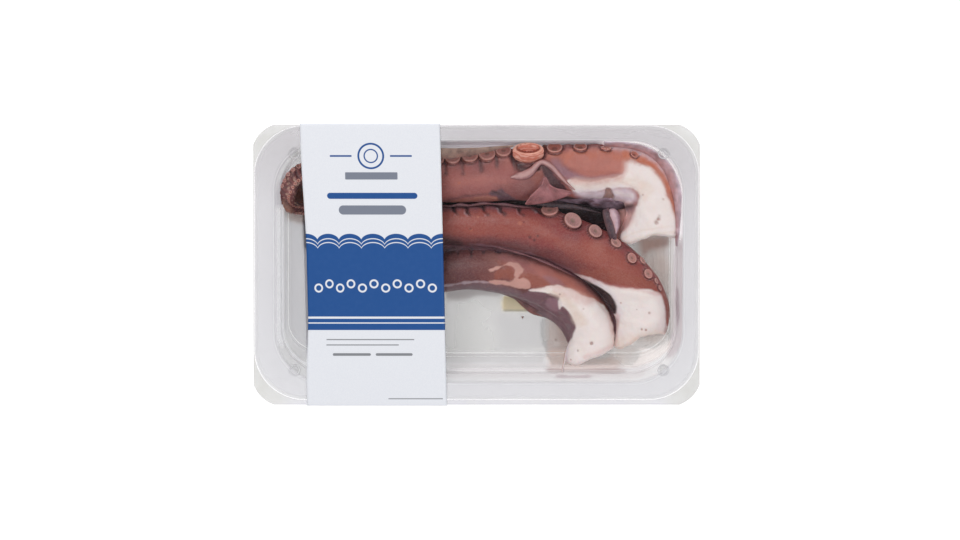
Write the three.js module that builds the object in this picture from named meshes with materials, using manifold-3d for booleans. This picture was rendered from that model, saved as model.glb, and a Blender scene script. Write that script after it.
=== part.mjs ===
// A chilled pack of cooked octopus arms: a clear formed tray, a lid film sealed on its flange, a printed
// card sleeve round its left half, and three arms lying side by side under the film.
// Millimetres, +Z up. The origin is in the middle of the pack, on the surface that it stands on.

import * as THREE from "three";
import { mergeVertices } from "three/addons/utils/BufferGeometryUtils.js";
import Module from "manifold-3d";

const wasm = await Module();
wasm.setup();

// Driving dimensions of the pack
const PACK_LENGTH = 230;
const PACK_WIDTH = 146.4;
const FLANGE_TOP = 31.5;
const FIT_GAP = 0.15;

// Tray: the film is cut off centre, so the flange and the cavity have middles of their own
const WALL = 0.6;
const FLANGE = { halfX: 114.5, halfY: 71.7, radius: 26, x: 0, y: 1.1, thickness: 0.7 };
const LIP = { width: 0.7, drop: 1.3 };
const RIM = { halfX: 105.5, halfY: 63.8, radius: 27.5, x: 1.2, y: 1.4 };
const CAVITY_DEPTH = 30;
const FLOOR_TOP = FLANGE_TOP - CAVITY_DEPTH;
const FOOT = { halfX: 30, halfY: 48, radius: 11, x: 67, y: 1.4, drop: FLOOR_TOP - WALL };
const LUG = { x: 94.9, y: 56.2, radius: 2.1, depth: 5.5 };
const CORNER_STEPS = 6;

// The wall from the rim down to the floor: how far it has come in on the long sides and on the short
// sides, and how deep it is there. A ledge runs round at two fifths of the depth.
const WALL_PROFILE = [
  [0.0, 0.0, 0.0],
  [0.9, 0.9, 0.9],
  [3.9, 3.7, 11.6],
  [4.6, 4.3, 12.2],
  [6.3, 5.1, 12.7],
  [9.8, 6.3, 26.4],
  [11.2, 7.2, 29.1],
  [13.2, 8.8, CAVITY_DEPTH],
];

// Lid film
const FILM_THICKNESS = 0.2;
const FILM_CORNER = 12.6;

// Card sleeve: it lies a little askew, and goes right round the tray
const CARD = 0.4;
const SLEEVE = { width: 72.1, x: -53.1, skew: -0.0238, baseHalf: 56, lipDrop: 1.1, crease: 0.25 };

// Small sticker under the floor
const STICKER = { length: 12.8, width: 7.9, thickness: 0.15, x: 20.3, y: -26 };

// Arms, from the cut end to the tip. Each station is where the middle lies (x, y), half the width, and
// how far the arm is lifted off the floor there.
const ARM_TOP = [
  [90.0, 11.5, 13.6, 0.6],
  [91.2, 27.0, 14.0, 0.6],
  [84.5, 40.3, 13.6, 0.6],
  [69.0, 44.6, 13.2, 0.3],
  [48.6, 44.3, 13.0, 0.3],
  [27.8, 43.2, 12.8, 0.3],
  [7.0, 42.6, 12.5, 0.3],
  [-13.8, 41.6, 12.1, 0.3],
  [-34.6, 41.6, 10.8, 0.6],
  [-55.4, 43.3, 8.8, 1.6],
  [-73.7, 46.2, 6.4, 5.5],
  [-86.2, 46.6, 4.5, 11.0],
  [-93.4, 42.6, 3.5, 15.0],
  [-96.3, 35.4, 3.0, 16.0],
  [-95.9, 28.2, 2.8, 12.5],
  [-92.0, 24.3, 2.5, 8.0],
  [-85.4, 23.4, 2.1, 3.5],
  [-78.6, 25.2, 1.2, 0.6],
];
const ARM_MIDDLE = [
  [84.0, -41.5, 12.6, 0.3],
  [85.6, -29.3, 14.0, 0.3],
  [80.6, -16.6, 14.6, 0.3],
  [67.9, -2.9, 14.1, 0.3],
  [50.3, 7.4, 13.2, 0.3],
  [30.4, 14.0, 12.3, 0.3],
  [9.6, 17.2, 11.4, 0.3],
  [-13.8, 17.2, 10.4, 0.3],
  [-37.2, 14.8, 8.7, 0.3],
  [-58.0, 10.1, 6.6, 0.3],
  [-73.6, 2.9, 4.7, 0.3],
  [-82.0, -6.8, 3.4, 0.3],
  [-82.0, -17.9, 2.6, 0.3],
  [-75.7, -25.3, 1.9, 0.3],
  [-67.9, -27.4, 1.1, 0.3],
];
const ARM_BOTTOM = [
  [59.2, -49.0, 11.0, 0.3],
  [59.8, -38.2, 11.8, 0.3],
  [53.4, -26.2, 11.9, 0.3],
  [39.2, -16.0, 11.5, 0.3],
  [21.0, -8.8, 11.1, 0.3],
  [1.8, -6.0, 10.8, 0.3],
  [-16.4, -7.4, 10.4, 0.3],
  [-37.2, -13.5, 8.9, 0.3],
  [-55.4, -22.2, 6.8, 0.3],
  [-67.6, -31.4, 4.9, 0.3],
  [-71.4, -39.4, 3.5, 0.3],
  [-66.4, -45.0, 2.6, 0.3],
  [-58.8, -45.0, 1.9, 0.3],
  [-51.6, -42.0, 1.1, 0.3],
];
const ARM_SIDES = 12;
const RING_STEP = 0.58; // distance between two rings, as a share of half the width
const LEAST_STEP = 2;
const SQUASH = 0.88; // height of a thick arm over its width
const CUT_FADE = 16; // the slant of the cut end has faded this far along the arm
const CLEARANCE = 0.3; // between an arm and what it is pressed against

// Suckers, in two rows along the side of an arm. A row's angle is measured from level, upwards.
const ROW_ANGLES = [34, -22];
const SUCKER_SIDES = { large: 8, small: 6 };
const LARGE_SUCKER = 5; // radius from which a sucker gets the larger number of sides
const SUCKER_SPACING = 1.2; // between two of one row, as a share of the diameter
const LEAST_SUCKER = 1.5; // the smallest radius that is worth making

// --- Solids --------------------------------------------------------------------------------------

// A closed geometry as a solid, without the empty triangles at a pole.
function solid(geometry) {
  const bare = new THREE.BufferGeometry()
    .setAttribute("position", geometry.getAttribute("position"))
    .setIndex(geometry.index);
  const merged = mergeVertices(bare, 1e-4);
  const corners = merged.index.array;
  const kept = [];
  for (let i = 0; i < corners.length; i += 3) {
    const [a, b, c] = corners.subarray(i, i + 3);
    if (a !== b && b !== c && c !== a) kept.push(a, b, c);
  }
  return new wasm.Manifold(
    new wasm.Mesh({
      numProp: 3,
      vertProperties: merged.getAttribute("position").array,
      triVerts: new Uint32Array(kept),
    }),
  );
}

function geometryOf(made) {
  const mesh = made.getMesh();
  const positions = new Float32Array(mesh.numVert * 3);
  for (let i = 0; i < mesh.numVert; i++) {
    positions.set(mesh.vertProperties.subarray(i * mesh.numProp, i * mesh.numProp + 3), i * 3);
  }
  return new THREE.BufferGeometry()
    .setAttribute("position", new THREE.BufferAttribute(positions, 3))
    .setIndex(new THREE.BufferAttribute(mesh.triVerts, 1));
}

// A closed body through rings of equal length, listed so that they turn anticlockwise seen from the
// side the stack grows to. Each end is closed by a fan on its middle.
function stack(rings) {
  const count = rings[0].length;
  const middle = (ring) => ring.reduce((sum, p) => sum.add(p), new THREE.Vector3()).divideScalar(count);
  const points = [...rings.flat(), middle(rings[0]), middle(rings[rings.length - 1])];
  const low = rings.length * count;
  const faces = [];
  for (let k = 0; k < count; k++) {
    const next = (k + 1) % count;
    faces.push(low, next, k);
    const last = (rings.length - 1) * count;
    faces.push(low + 1, last + k, last + next);
    for (let r = 0; r < rings.length - 1; r++) {
      const a = r * count + k;
      const b = r * count + next;
      faces.push(a, b, b + count, a, b + count, a + count);
    }
  }
  const geometry = new THREE.BufferGeometry().setFromPoints(points);
  return geometry.setIndex(faces);
}

// --- Tray, film, sleeve and sticker ----------------------------------------------------------------

// A level ring of points round a rectangle whose corners are quarter ellipses.
function roundedRing({ halfX, halfY, x, y }, cornerX, cornerY, z) {
  const ring = [];
  for (let corner = 0; corner < 4; corner++) {
    for (let i = 0; i <= CORNER_STEPS; i++) {
      const angle = ((corner + i / CORNER_STEPS) * Math.PI) / 2;
      const sideX = Math.cos(((corner + 0.5) * Math.PI) / 2) > 0 ? 1 : -1;
      const sideY = Math.sin(((corner + 0.5) * Math.PI) / 2) > 0 ? 1 : -1;
      ring.push(
        new THREE.Vector3(
          x + sideX * (halfX - cornerX) + cornerX * Math.cos(angle),
          y + sideY * (halfY - cornerY) + cornerY * Math.sin(angle),
          z,
        ),
      );
    }
  }
  return ring;
}

// A plate with rounded corners between two heights.
function plate(outline, radius, bottom, top) {
  return solid(stack([bottom, top].map((z) => roundedRing(outline, radius, radius, z))));
}

// The cavity's shape, grown outwards and downwards by a wall's thickness for the outside of the tray.
function cavity(grow, topZ) {
  const rings = WALL_PROFILE.map(([longIn, shortIn, depth]) => {
    const outline = { ...RIM, halfX: RIM.halfX - shortIn + grow, halfY: RIM.halfY - longIn + grow };
    return roundedRing(
      outline,
      RIM.radius - shortIn + grow,
      RIM.radius - longIn + grow,
      FLANGE_TOP - depth - grow,
    );
  });
  const mouth = { ...RIM, halfX: RIM.halfX + grow, halfY: RIM.halfY + grow };
  if (topZ > FLANGE_TOP - grow) {
    rings.unshift(roundedRing(mouth, RIM.radius + grow, RIM.radius + grow, topZ));
  }
  return solid(stack(rings.reverse()));
}

// A round pocket that stops stacked trays from jamming together, one at each corner of the rim.
function lugs(grow, topZ) {
  const height = LUG.depth + grow + topZ - FLANGE_TOP;
  const made = [];
  for (const sideX of [-1, 1]) {
    for (const sideY of [-1, 1]) {
      const pocket = new THREE.CylinderGeometry(LUG.radius + grow, LUG.radius + grow, height, 8);
      pocket.rotateX(Math.PI / 2);
      pocket.translate(RIM.x + sideX * LUG.x, RIM.y + sideY * LUG.y, topZ - height / 2);
      made.push(solid(pocket));
    }
  }
  return made;
}

// The low end of the floor, on which the tray stands beside the sleeve.
function foot(grow, topZ) {
  const outline = { ...FOOT, halfX: FOOT.halfX + grow, halfY: FOOT.halfY + grow };
  const bottom = FLOOR_TOP - FOOT.drop - grow;
  const lowOutline = { ...outline, halfX: outline.halfX - FOOT.drop, halfY: outline.halfY - FOOT.drop };
  return solid(
    stack([
      roundedRing(lowOutline, FOOT.radius - FOOT.drop, FOOT.radius - FOOT.drop, bottom),
      roundedRing(outline, FOOT.radius, FOOT.radius, FLOOR_TOP - grow),
      roundedRing(outline, FOOT.radius, FOOT.radius, topZ),
    ]),
  );
}

function tray() {
  const under = FLANGE_TOP - FLANGE.thickness;
  const inside = { ...FLANGE, halfX: FLANGE.halfX - LIP.width, halfY: FLANGE.halfY - LIP.width };
  const lip = plate(FLANGE, FLANGE.radius, FLANGE_TOP - LIP.drop, under + FIT_GAP).subtract(
    plate(inside, FLANGE.radius - LIP.width, 0, FLANGE_TOP),
  );
  let outside = plate(FLANGE, FLANGE.radius, under, FLANGE_TOP).add(lip);
  for (const piece of [cavity(WALL, FLANGE_TOP - WALL), foot(WALL, FLOOR_TOP), ...lugs(WALL, under)]) {
    outside = outside.add(piece);
  }
  const above = FLANGE_TOP + 1;
  for (const piece of [cavity(0, above), foot(0, FLOOR_TOP + 1), ...lugs(0, above)]) {
    outside = outside.subtract(piece);
  }
  return geometryOf(outside);
}

function film() {
  const outline = { halfX: PACK_LENGTH / 2, halfY: PACK_WIDTH / 2, x: 0, y: 0 };
  const bottom = FLANGE_TOP + FIT_GAP;
  return geometryOf(plate(outline, FILM_CORNER, bottom, bottom + FILM_THICKNESS));
}

// The sleeve's cross-section: flat on top, turned down past the flange, then drawn in to the base.
function sleeveOutline(grow) {
  const side = PACK_WIDTH / 2 + FIT_GAP + grow;
  const top = FLANGE_TOP + FILM_THICKNESS + 2 * FIT_GAP + grow;
  const base = SLEEVE.baseHalf + grow;
  const bottom = CARD - grow;
  const fold = SLEEVE.crease + grow;
  const half = [
    [base - fold, bottom],
    [base, bottom + fold / 2],
    [side, FLANGE_TOP - SLEEVE.lipDrop],
    [side, top - fold],
    [side - fold / 3, top - fold / 3],
    [side - fold, top],
  ];
  const other = half.map(([y, z]) => [-y, z]).reverse();
  return [...half, ...other].map(([y, z]) => new THREE.Vector2(y, z));
}

function sleeve() {
  const shape = new THREE.Shape(sleeveOutline(CARD));
  shape.holes.push(new THREE.Path(sleeveOutline(0)));
  const band = new THREE.ExtrudeGeometry(shape, { depth: SLEEVE.width, bevelEnabled: false });
  // The section is drawn in Y and Z and pulled along X, then skewed as the card lies.
  const turn = new THREE.Matrix4().makeBasis(
    new THREE.Vector3(SLEEVE.skew, 1, 0),
    new THREE.Vector3(0, 0, 1),
    new THREE.Vector3(1, 0, 0),
  );
  turn.setPosition(SLEEVE.x - SLEEVE.width / 2, 0, 0);
  band.applyMatrix4(turn);
  return geometryOf(solid(band));
}

function sticker() {
  const top = FLOOR_TOP - WALL - FIT_GAP;
  const made = new THREE.BoxGeometry(STICKER.length, STICKER.width, STICKER.thickness);
  return made.translate(STICKER.x, STICKER.y, top - STICKER.thickness / 2);
}

// --- Arms ------------------------------------------------------------------------------------------

// A smooth arm through its stations: where its middle, half width and half height are at any length.
function armPath(stations, grow = 0) {
  const heightOf = (halfWidth) => halfWidth * THREE.MathUtils.lerp(1, SQUASH, Math.min(1, halfWidth / 9));
  const middles = stations.map(
    ([x, y, halfWidth, lift]) => new THREE.Vector3(x, y, FLOOR_TOP + lift + heightOf(halfWidth)),
  );
  const widths = stations.map(([, , halfWidth]) => new THREE.Vector3(halfWidth, 0, 0));
  const line = new THREE.CatmullRomCurve3(middles);
  const girth = new THREE.CatmullRomCurve3(widths, false, "catmullrom", 0.5);
  line.arcLengthDivisions = 400;
  const length = line.getLength();
  const at = (s) => {
    const t = line.getUtoTmapping(THREE.MathUtils.clamp(s / length, 0, 1));
    const along = line.getTangent(t);
    const side = new THREE.Vector3(along.y, -along.x, 0).normalize();
    const halfWidth = girth.getPoint(t).x;
    return {
      middle: line.getPoint(t),
      along,
      side,
      up: new THREE.Vector3().crossVectors(side, along),
      halfWidth: halfWidth + grow,
      halfHeight: heightOf(halfWidth) + grow,
    };
  };
  return { length, at, grow };
}

// A point on an arm's skin, at an angle from the sucker side upwards.
function skinPoint(station, angle, slant) {
  const across = station.halfWidth * Math.cos(angle);
  return station.middle
    .clone()
    .addScaledVector(station.side, across)
    .addScaledVector(station.up, station.halfHeight * Math.sin(angle))
    .addScaledVector(station.along, slant * across);
}

function skinNormal(station, angle) {
  return new THREE.Vector3()
    .addScaledVector(station.side, Math.cos(angle) / station.halfWidth)
    .addScaledVector(station.up, Math.sin(angle) / station.halfHeight)
    .normalize();
}

function armBody(path, cutSlant) {
  const rings = [];
  for (let s = 0; s < path.length; ) {
    const station = path.at(s);
    const slant = cutSlant * Math.max(0, 1 - s / CUT_FADE);
    const ring = [];
    for (let k = 0; k < ARM_SIDES; k++) {
      ring.push(skinPoint(station, (-2 * Math.PI * k) / ARM_SIDES, slant));
    }
    rings.push(ring);
    s += Math.max(LEAST_STEP, RING_STEP * (station.halfWidth - path.grow));
  }
  return solid(stack(rings));
}

// One sucker: a short stalk, a rim that stands out, and a hollow in the middle, along +Y.
function suckerShape(radius, sides) {
  const profile = [
    [0, -0.4],
    [0.75, -0.4],
    [1, 0.38],
    [0.62, 0.34],
    [0, 0.02],
  ];
  return new THREE.LatheGeometry(
    profile.map(([r, y]) => new THREE.Vector2(r * radius, y * radius)),
    sides,
  );
}

// Radius of a sucker, and how far along the arm the next one of its row comes.
function suckerRule(path, s) {
  const share = s / path.length;
  const station = path.at(s);
  const nearBase = THREE.MathUtils.smoothstep(share, 0.02, 0.24);
  const radius = station.halfWidth * THREE.MathUtils.lerp(0.24, 0.34, nearBase);
  const step = THREE.MathUtils.lerp(12.6, 2 * radius * SUCKER_SPACING, nearBase);
  return { radius, step, station };
}

function suckers(path, { firstAt, large }) {
  const made = [];
  ROW_ANGLES.forEach((degrees, row) => {
    const angle = THREE.MathUtils.degToRad(degrees);
    let s = firstAt + row * 6;
    while (s < path.length - 1) {
      const { radius, step, station } = suckerRule(path, s);
      if (radius < LEAST_SUCKER) break;
      const isLarge = large && row === 0 && Math.abs(s - large.at) < step / 2;
      const size = isLarge ? large.radius : radius;
      const shape = suckerShape(size, size > LARGE_SUCKER ? SUCKER_SIDES.large : SUCKER_SIDES.small);
      const normal = skinNormal(station, angle);
      shape.applyQuaternion(
        new THREE.Quaternion().setFromUnitVectors(new THREE.Vector3(0, 1, 0), normal),
      );
      const foot = skinPoint(station, angle, 0);
      shape.translate(foot.x, foot.y, foot.z);
      made.push(solid(shape));
      s += step;
    }
  });
  return made;
}

// The arm lies against the tray's wall and against its neighbour, and is pressed flat there.
function arm(stations, { cutSlant, neighbour, ...rows }) {
  const path = armPath(stations);
  let body = armBody(path, cutSlant);
  for (const sucker of suckers(path, rows)) body = body.add(sucker);
  body = body.intersect(cavity(-CLEARANCE, FLANGE_TOP - CLEARANCE));
  if (neighbour) {
    body = body.subtract(armBody(armPath(neighbour.stations, CLEARANCE), neighbour.cutSlant));
  }
  const whole = body.decompose().sort((a, b) => b.volume() - a.volume())[0];
  return geometryOf(whole);
}

// --- The pack --------------------------------------------------------------------------------------

const clearPlastic = new THREE.MeshStandardMaterial({
  color: 0xdcdce1,
  roughness: 0.15,
  transparent: true,
  opacity: 0.35,
});
const filmPlastic = clearPlastic.clone();
filmPlastic.opacity = 0.15;
const card = new THREE.MeshStandardMaterial({ color: 0xe8ebf2, roughness: 0.7 });
const skin = new THREE.MeshStandardMaterial({ color: 0x8f524c, roughness: 0.3 });
const paleYellow = new THREE.MeshStandardMaterial({ color: 0xded6a8, roughness: 0.6 });

function piece(name, geometry, material) {
  const mesh = new THREE.Mesh(geometry, material);
  mesh.name = name;
  return mesh;
}

const pack = new THREE.Group();
pack.name = "octopus_pack";
pack.add(piece("tray", tray(), clearPlastic));
pack.add(piece("lid_film", film(), filmPlastic));
pack.add(piece("card_sleeve", sleeve(), card));
pack.add(piece("sticker", sticker(), paleYellow));
const top = { cutSlant: 0.2, firstAt: 26, large: { at: 92, radius: 7.6 } };
const middle = { cutSlant: 0.28, firstAt: 14, neighbour: { stations: ARM_TOP, ...top } };
const bottom = { cutSlant: 0.33, firstAt: 14, neighbour: { stations: ARM_MIDDLE, ...middle } };
pack.add(piece("arm_top", arm(ARM_TOP, top), skin));
pack.add(piece("arm_middle", arm(ARM_MIDDLE, middle), skin));
pack.add(piece("arm_bottom", arm(ARM_BOTTOM, bottom), skin));

export default pack;
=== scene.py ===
import contextlib
import itertools
import math

import bmesh
import bpy
import numpy as np
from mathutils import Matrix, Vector


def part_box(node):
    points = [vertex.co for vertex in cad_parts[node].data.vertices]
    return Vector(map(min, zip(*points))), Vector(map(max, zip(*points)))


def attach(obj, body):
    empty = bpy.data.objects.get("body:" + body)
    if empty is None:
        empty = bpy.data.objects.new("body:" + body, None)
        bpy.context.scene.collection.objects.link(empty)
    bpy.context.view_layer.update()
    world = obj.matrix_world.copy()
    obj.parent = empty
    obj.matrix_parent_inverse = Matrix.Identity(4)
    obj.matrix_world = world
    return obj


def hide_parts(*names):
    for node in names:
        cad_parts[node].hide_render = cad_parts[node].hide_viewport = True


bl_info = {
    "name": "Octopus Pack",
    "version": (1, 0, 0),
    "blender": (4, 5, 0),
    "location": "3D View > Sidebar > Octopus Pack",
    "description": "Cooked octopus arms in a clear sealed tray with a printed card sleeve",
    "category": "Object",
}

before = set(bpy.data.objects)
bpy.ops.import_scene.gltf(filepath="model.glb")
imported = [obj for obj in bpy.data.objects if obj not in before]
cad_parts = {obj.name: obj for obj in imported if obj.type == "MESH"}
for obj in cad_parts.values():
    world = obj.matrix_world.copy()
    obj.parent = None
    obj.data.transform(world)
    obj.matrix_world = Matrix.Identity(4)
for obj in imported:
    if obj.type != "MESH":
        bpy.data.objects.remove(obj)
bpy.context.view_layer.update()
MM = 0.001
BODY = "root"

# The camera looks down on the pack from a long way off, leaning a little towards its upper edge. Marks on
# the food are given as points of the camera's view, which is 960 by 540 points. A point of the view is
# VIEW_SCALE wide on the level of the lid film.
VIEW_SIZE = (960, 540)
VIEW_MIDDLE = (476.6, 264.8)
VIEW_SCALE = 0.5151
CAMERA_LEAN = math.radians(10)
CAMERA_DISTANCE = 10.0
SENSOR_WIDTH = 36.0

# Levels of the tray, in millimetres
FLANGE_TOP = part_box("tray")[1].z / MM
CAVITY_DEPTH = 30.0
FLOOR_TOP = FLANGE_TOP - CAVITY_DEPTH


def rgb(red, green, blue):
    """A colour given in display values from 0 to 255, as linear values."""
    def linear(value):
        share = value / 255
        return share / 12.92 if share <= 0.04045 else ((share + 0.055) / 1.055) ** 2.4
    return (linear(red), linear(green), linear(blue))


# --- Settings ------------------------------------------------------------------------------------


def colour(name, description, value):
    """A setting that is a colour."""
    return bpy.props.FloatVectorProperty(
        name=name, description=description, subtype="COLOR", size=3, min=0, max=1, default=value
    )


def length(name, description, value):
    """A setting that is a length, given in millimetres."""
    return bpy.props.FloatProperty(
        name=name, description=description, default=value * MM, unit="LENGTH", precision=5
    )


class PackTraySettings(bpy.types.PropertyGroup):
    """Sizes and colours of the tray, its film and its juice"""

    wall: length("Wall", "Thickness of the tray's wall", 0.45)
    film: length("Film", "Thickness of the lid film", 0.12)
    ripple: length("Ripple", "Height of the film's slack waves", 0.25)
    plastic: colour("Plastic", "Cast of the clear tray", rgb(218, 217, 223))
    # Painted shade: the tray's far rim is painted darker with this tone
    shaded_plastic: colour("Dim plastic", "Cast of the tray on its far rim", rgb(178, 172, 178))
    # The tray's floor is painted in this darker tone
    floor_plastic: colour("Floor plastic", "Cast of the tray on its floor", rgb(202, 201, 199))
    film_cast: colour("Film cast", "Cast of the lid film", rgb(205, 204, 212))
    loose_film: colour("Loose film", "Film past the edge of the tray", rgb(208, 207, 203))
    juice: colour("Juice", "Cooking juice on the floor", rgb(212, 172, 150))
    sticker: colour("Sticker", "Pale yellow sticker", rgb(255, 250, 176))


class PackSleeveSettings(bpy.types.PropertyGroup):
    """Print of the card sleeve"""

    card: colour("Card", "White of the card", rgb(244, 246, 252))
    ink: colour("Ink", "Blue of the print", rgb(2, 78, 150))
    grey_ink: colour("Grey ink", "Grey of the print", rgb(128, 134, 150))
    black_ink: colour("Black ink", "Dark lines of the print", rgb(60, 62, 70))


class PackOctopusSettings(bpy.types.PropertyGroup):
    """Colours of the cooked octopus"""

    skin_top: colour("Upper arm", "Skin of the upper arm", rgb(159, 90, 85))
    skin_middle: colour("Middle arm", "Skin of the middle arm", rgb(142, 62, 62))
    skin_bottom: colour("Lower arm", "Skin of the lower arm", rgb(98, 54, 56))
    flesh: colour("Flesh", "White flesh of the cut ends", rgb(243, 231, 228))
    cream: colour("Cream flesh", "Yellower flesh next to the skin", rgb(230, 208, 194))
    orange: colour("Orange skin", "Warm skin at the thick end", rgb(198, 112, 82))
    # Also used as a painted sheen along the upper arm
    pink_skin_and_sheen: colour("Pink skin", "Pale pink skin at the thick end", rgb(192, 120, 108))
    # Also used for painted highlights beside the middle arm's creases
    lilac_skin_and_highlight: colour("Lilac", "Bluish inner skin", rgb(226, 210, 221))
    violet: colour("Violet", "Purple web", rgb(112, 78, 90))
    mauve: colour("Mauve", "Pinkish web flap", rgb(160, 104, 108))
    # The web's own near-black, also used as painted shade in creases, folds, gaps and round the suckers
    dark_web_and_shade: colour("Dark web and shade", "Nearly black web in the folds", rgb(32, 24, 36))
    salmon: colour("Salmon", "Patches without their outer skin", rgb(208, 158, 148))
    # Also used for painted glints and sheen on the dark web
    slate_and_glint: colour("Slate", "Grey-blue underside", rgb(115, 93, 102))
    rust: colour("Rust", "Red-brown edge of the skin", rgb(150, 76, 60))
    sucker: colour("Sucker", "Sucker disc", rgb(210, 162, 158))
    sucker_warm: colour("Warm sucker", "Disc of the suckers near the web", rgb(196, 112, 92))
    olive: colour("Olive", "Clouded skin along the tray's wall", rgb(148, 130, 118))
    bruise: colour("Bruise", "Purple shade in the inner skin", rgb(150, 112, 126))
    notch: colour("Notch", "Brown-grey slit in the inner skin", rgb(164, 126, 116))
    rust_shade: colour("Deep rust", "Red-brown hollow", rgb(128, 78, 74))
    # Also used for painted highlights on the wrinkles round the middle arm's suckers
    rose_and_highlight: colour("Rose", "Pink edge of a web", rgb(204, 142, 138))
    plum: colour("Plum", "Shaded purple-brown skin", rgb(96, 58, 64))
    brick: colour("Brick", "Redder skin", rgb(168, 88, 70))


# --- Numbers ---------------------------------------------------------------------------------------


def smooth(value, low, high):
    """A smooth step from 0 at low to 1 at high."""
    share = np.clip((value - low) / (high - low), 0, 1)
    return share * share * (3 - 2 * share)


def noise(points, size, seed=0):
    """Smooth random values from -1 to 1 at the points, with bumps about as wide as size."""
    spots = np.asarray(points, float) / size + seed * 17.31
    cell = np.floor(spots).astype(np.int64)
    part = spots - cell
    part = part * part * (3 - 2 * part)
    total = np.zeros(len(spots))
    for corner in itertools.product((0, 1), repeat=3):
        x, y, z = (cell + corner).T
        mixed = (x * 374761393 + y * 668265263 + z * 1440662683) & 0x7FFFFFFF
        mixed = ((mixed ^ (mixed >> 13)) * 1274126177) & 0x7FFFFFFF
        value = ((mixed ^ (mixed >> 16)) & 0xFFFF) / 32767.5 - 1
        total += value * np.prod(np.where(corner, part, 1 - part), axis=1)
    return total


def rough(points, size, seed=0, layers=3):
    """Noise of several sizes laid over each other."""
    return sum(noise(points, size / 2**k, seed + k) / 2**k for k in range(layers))


def spline(values, places, even=False):
    """Points of a Catmull-Rom curve through the rows of values, at places from 0 to 1."""
    rows = np.array(values, float)
    rows = np.vstack([2 * rows[0] - rows[1], rows, 2 * rows[-1] - rows[-2]])
    place = places * (len(rows) - 3)
    first = np.minimum(place.astype(int), len(rows) - 4)
    w = (place - first)[:, None]
    p0, p1, p2, p3 = (rows[first + k] for k in range(4))
    d0 = d1 = d2 = 1.0
    if not even:
        d0, d1, d2 = (
            np.sqrt(np.linalg.norm(b - a, axis=1, keepdims=True)) for a, b in ((p0, p1), (p1, p2), (p2, p3))
        )
    m1 = d1 * ((p1 - p0) / d0 - (p2 - p0) / (d0 + d1) + (p2 - p1) / d1)
    m2 = d1 * ((p2 - p1) / d1 - (p3 - p1) / (d1 + d2) + (p3 - p2) / d2)
    return p1 + w * m1 + w**2 * (3 * (p2 - p1) - 2 * m1 - m2) + w**3 * (2 * (p1 - p2) + m1 + m2)


def curve_points(corners, count):
    """A smooth line of count points through a few corners."""
    return spline(corners, np.linspace(0, 1, count))


def rounded(outline, steps=4):
    """A closed outline through a few points, made smooth."""
    ring = [outline[-1], *outline, outline[0], outline[1]]
    count = len(outline)
    places = (1 + np.arange(count * steps) / steps) / (count + 2)
    return spline(ring, places)


def near_outline(spots, corners, reach):
    """Rows of the spots that are within reach of the corners' box."""
    return np.flatnonzero(((spots > corners.min(0) - reach) & (spots < corners.max(0) + reach)).all(1))


def to_edges(spots, starts, edges):
    """Distance from every spot to every edge, and the share of the edge at the nearest place."""
    away = spots[:, None, :] - starts
    share = np.clip((away * edges).sum(-1) / np.maximum((edges**2).sum(-1), 1e-9), 0, 1)
    return np.linalg.norm(away - share[..., None] * edges, axis=-1), share


def inside_by(spots, outline, reach=12.0):
    """How far each spot lies inside a closed outline, below zero outside it, and at least -reach."""
    starts = np.array(outline, float)
    edges = np.roll(starts, -1, 0) - starts
    result = np.full(len(spots), -reach)
    rows = near_outline(spots, starts, reach)
    for part in np.array_split(rows, max(1, len(rows) // 4000)):
        x, y = spots[part, :1], spots[part, 1:2]
        distance = to_edges(spots[part], starts, edges)[0].min(1)
        spans = (starts[:, 1] > y) != (starts[:, 1] + edges[:, 1] > y)
        slope = np.divide(edges[:, 0], edges[:, 1], out=np.zeros(len(starts)), where=edges[:, 1] != 0)
        crosses = spans & (x < slope * (y - starts[:, 1]) + starts[:, 0])
        result[part] = np.where(crosses.sum(1) % 2 == 1, distance, -distance)
    return np.maximum(result, -reach)


def off_line(spots, line, reach=14.0):
    """How far each spot lies from an open line, and how far along the line that is, from 0 to 1."""
    corners = np.array(line, float)
    distance = np.full(len(spots), reach)
    along = np.zeros(len(spots))
    rows = near_outline(spots, corners, reach)
    away, share = to_edges(spots[rows], corners[:-1], np.diff(corners, axis=0))
    nearest = away.argmin(1)
    count = np.arange(len(rows))
    distance[rows] = np.minimum(away[count, nearest], reach)
    along[rows] = (nearest + share[count, nearest]) / (len(corners) - 1)
    return distance, along


def in_view(points):
    """Where points of the pack, in millimetres, show in the camera's view."""
    up = points[:, 1] * math.cos(CAMERA_LEAN) - (points[:, 2] - FLANGE_TOP) * math.sin(CAMERA_LEAN)
    return np.stack(
        [VIEW_MIDDLE[0] + points[:, 0] / VIEW_SCALE, VIEW_MIDDLE[1] - up / VIEW_SCALE], axis=1
    )


def under_view(spot, height):
    """The point of the pack, in millimetres, that shows at a spot of the view and lies at that height."""
    up = (VIEW_MIDDLE[1] - spot[1]) * VIEW_SCALE
    y = (up + (height - FLANGE_TOP) * math.sin(CAMERA_LEAN)) / math.cos(CAMERA_LEAN)
    return ((spot[0] - VIEW_MIDDLE[0]) * VIEW_SCALE, y, height)


# --- Meshes ----------------------------------------------------------------------------------------


def grid_faces(rows, columns, closed=True):
    """Quads of a grid of points, row by row, whose rows may close into rings."""
    across = np.arange(columns if closed else columns - 1)
    down = np.arange(rows - 1)[:, None]
    nxt = (across + 1) % columns
    a = down * columns + across
    b = down * columns + nxt
    return np.stack([a, b, b + columns, a + columns], axis=-1).reshape(-1, 4).tolist()


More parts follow.
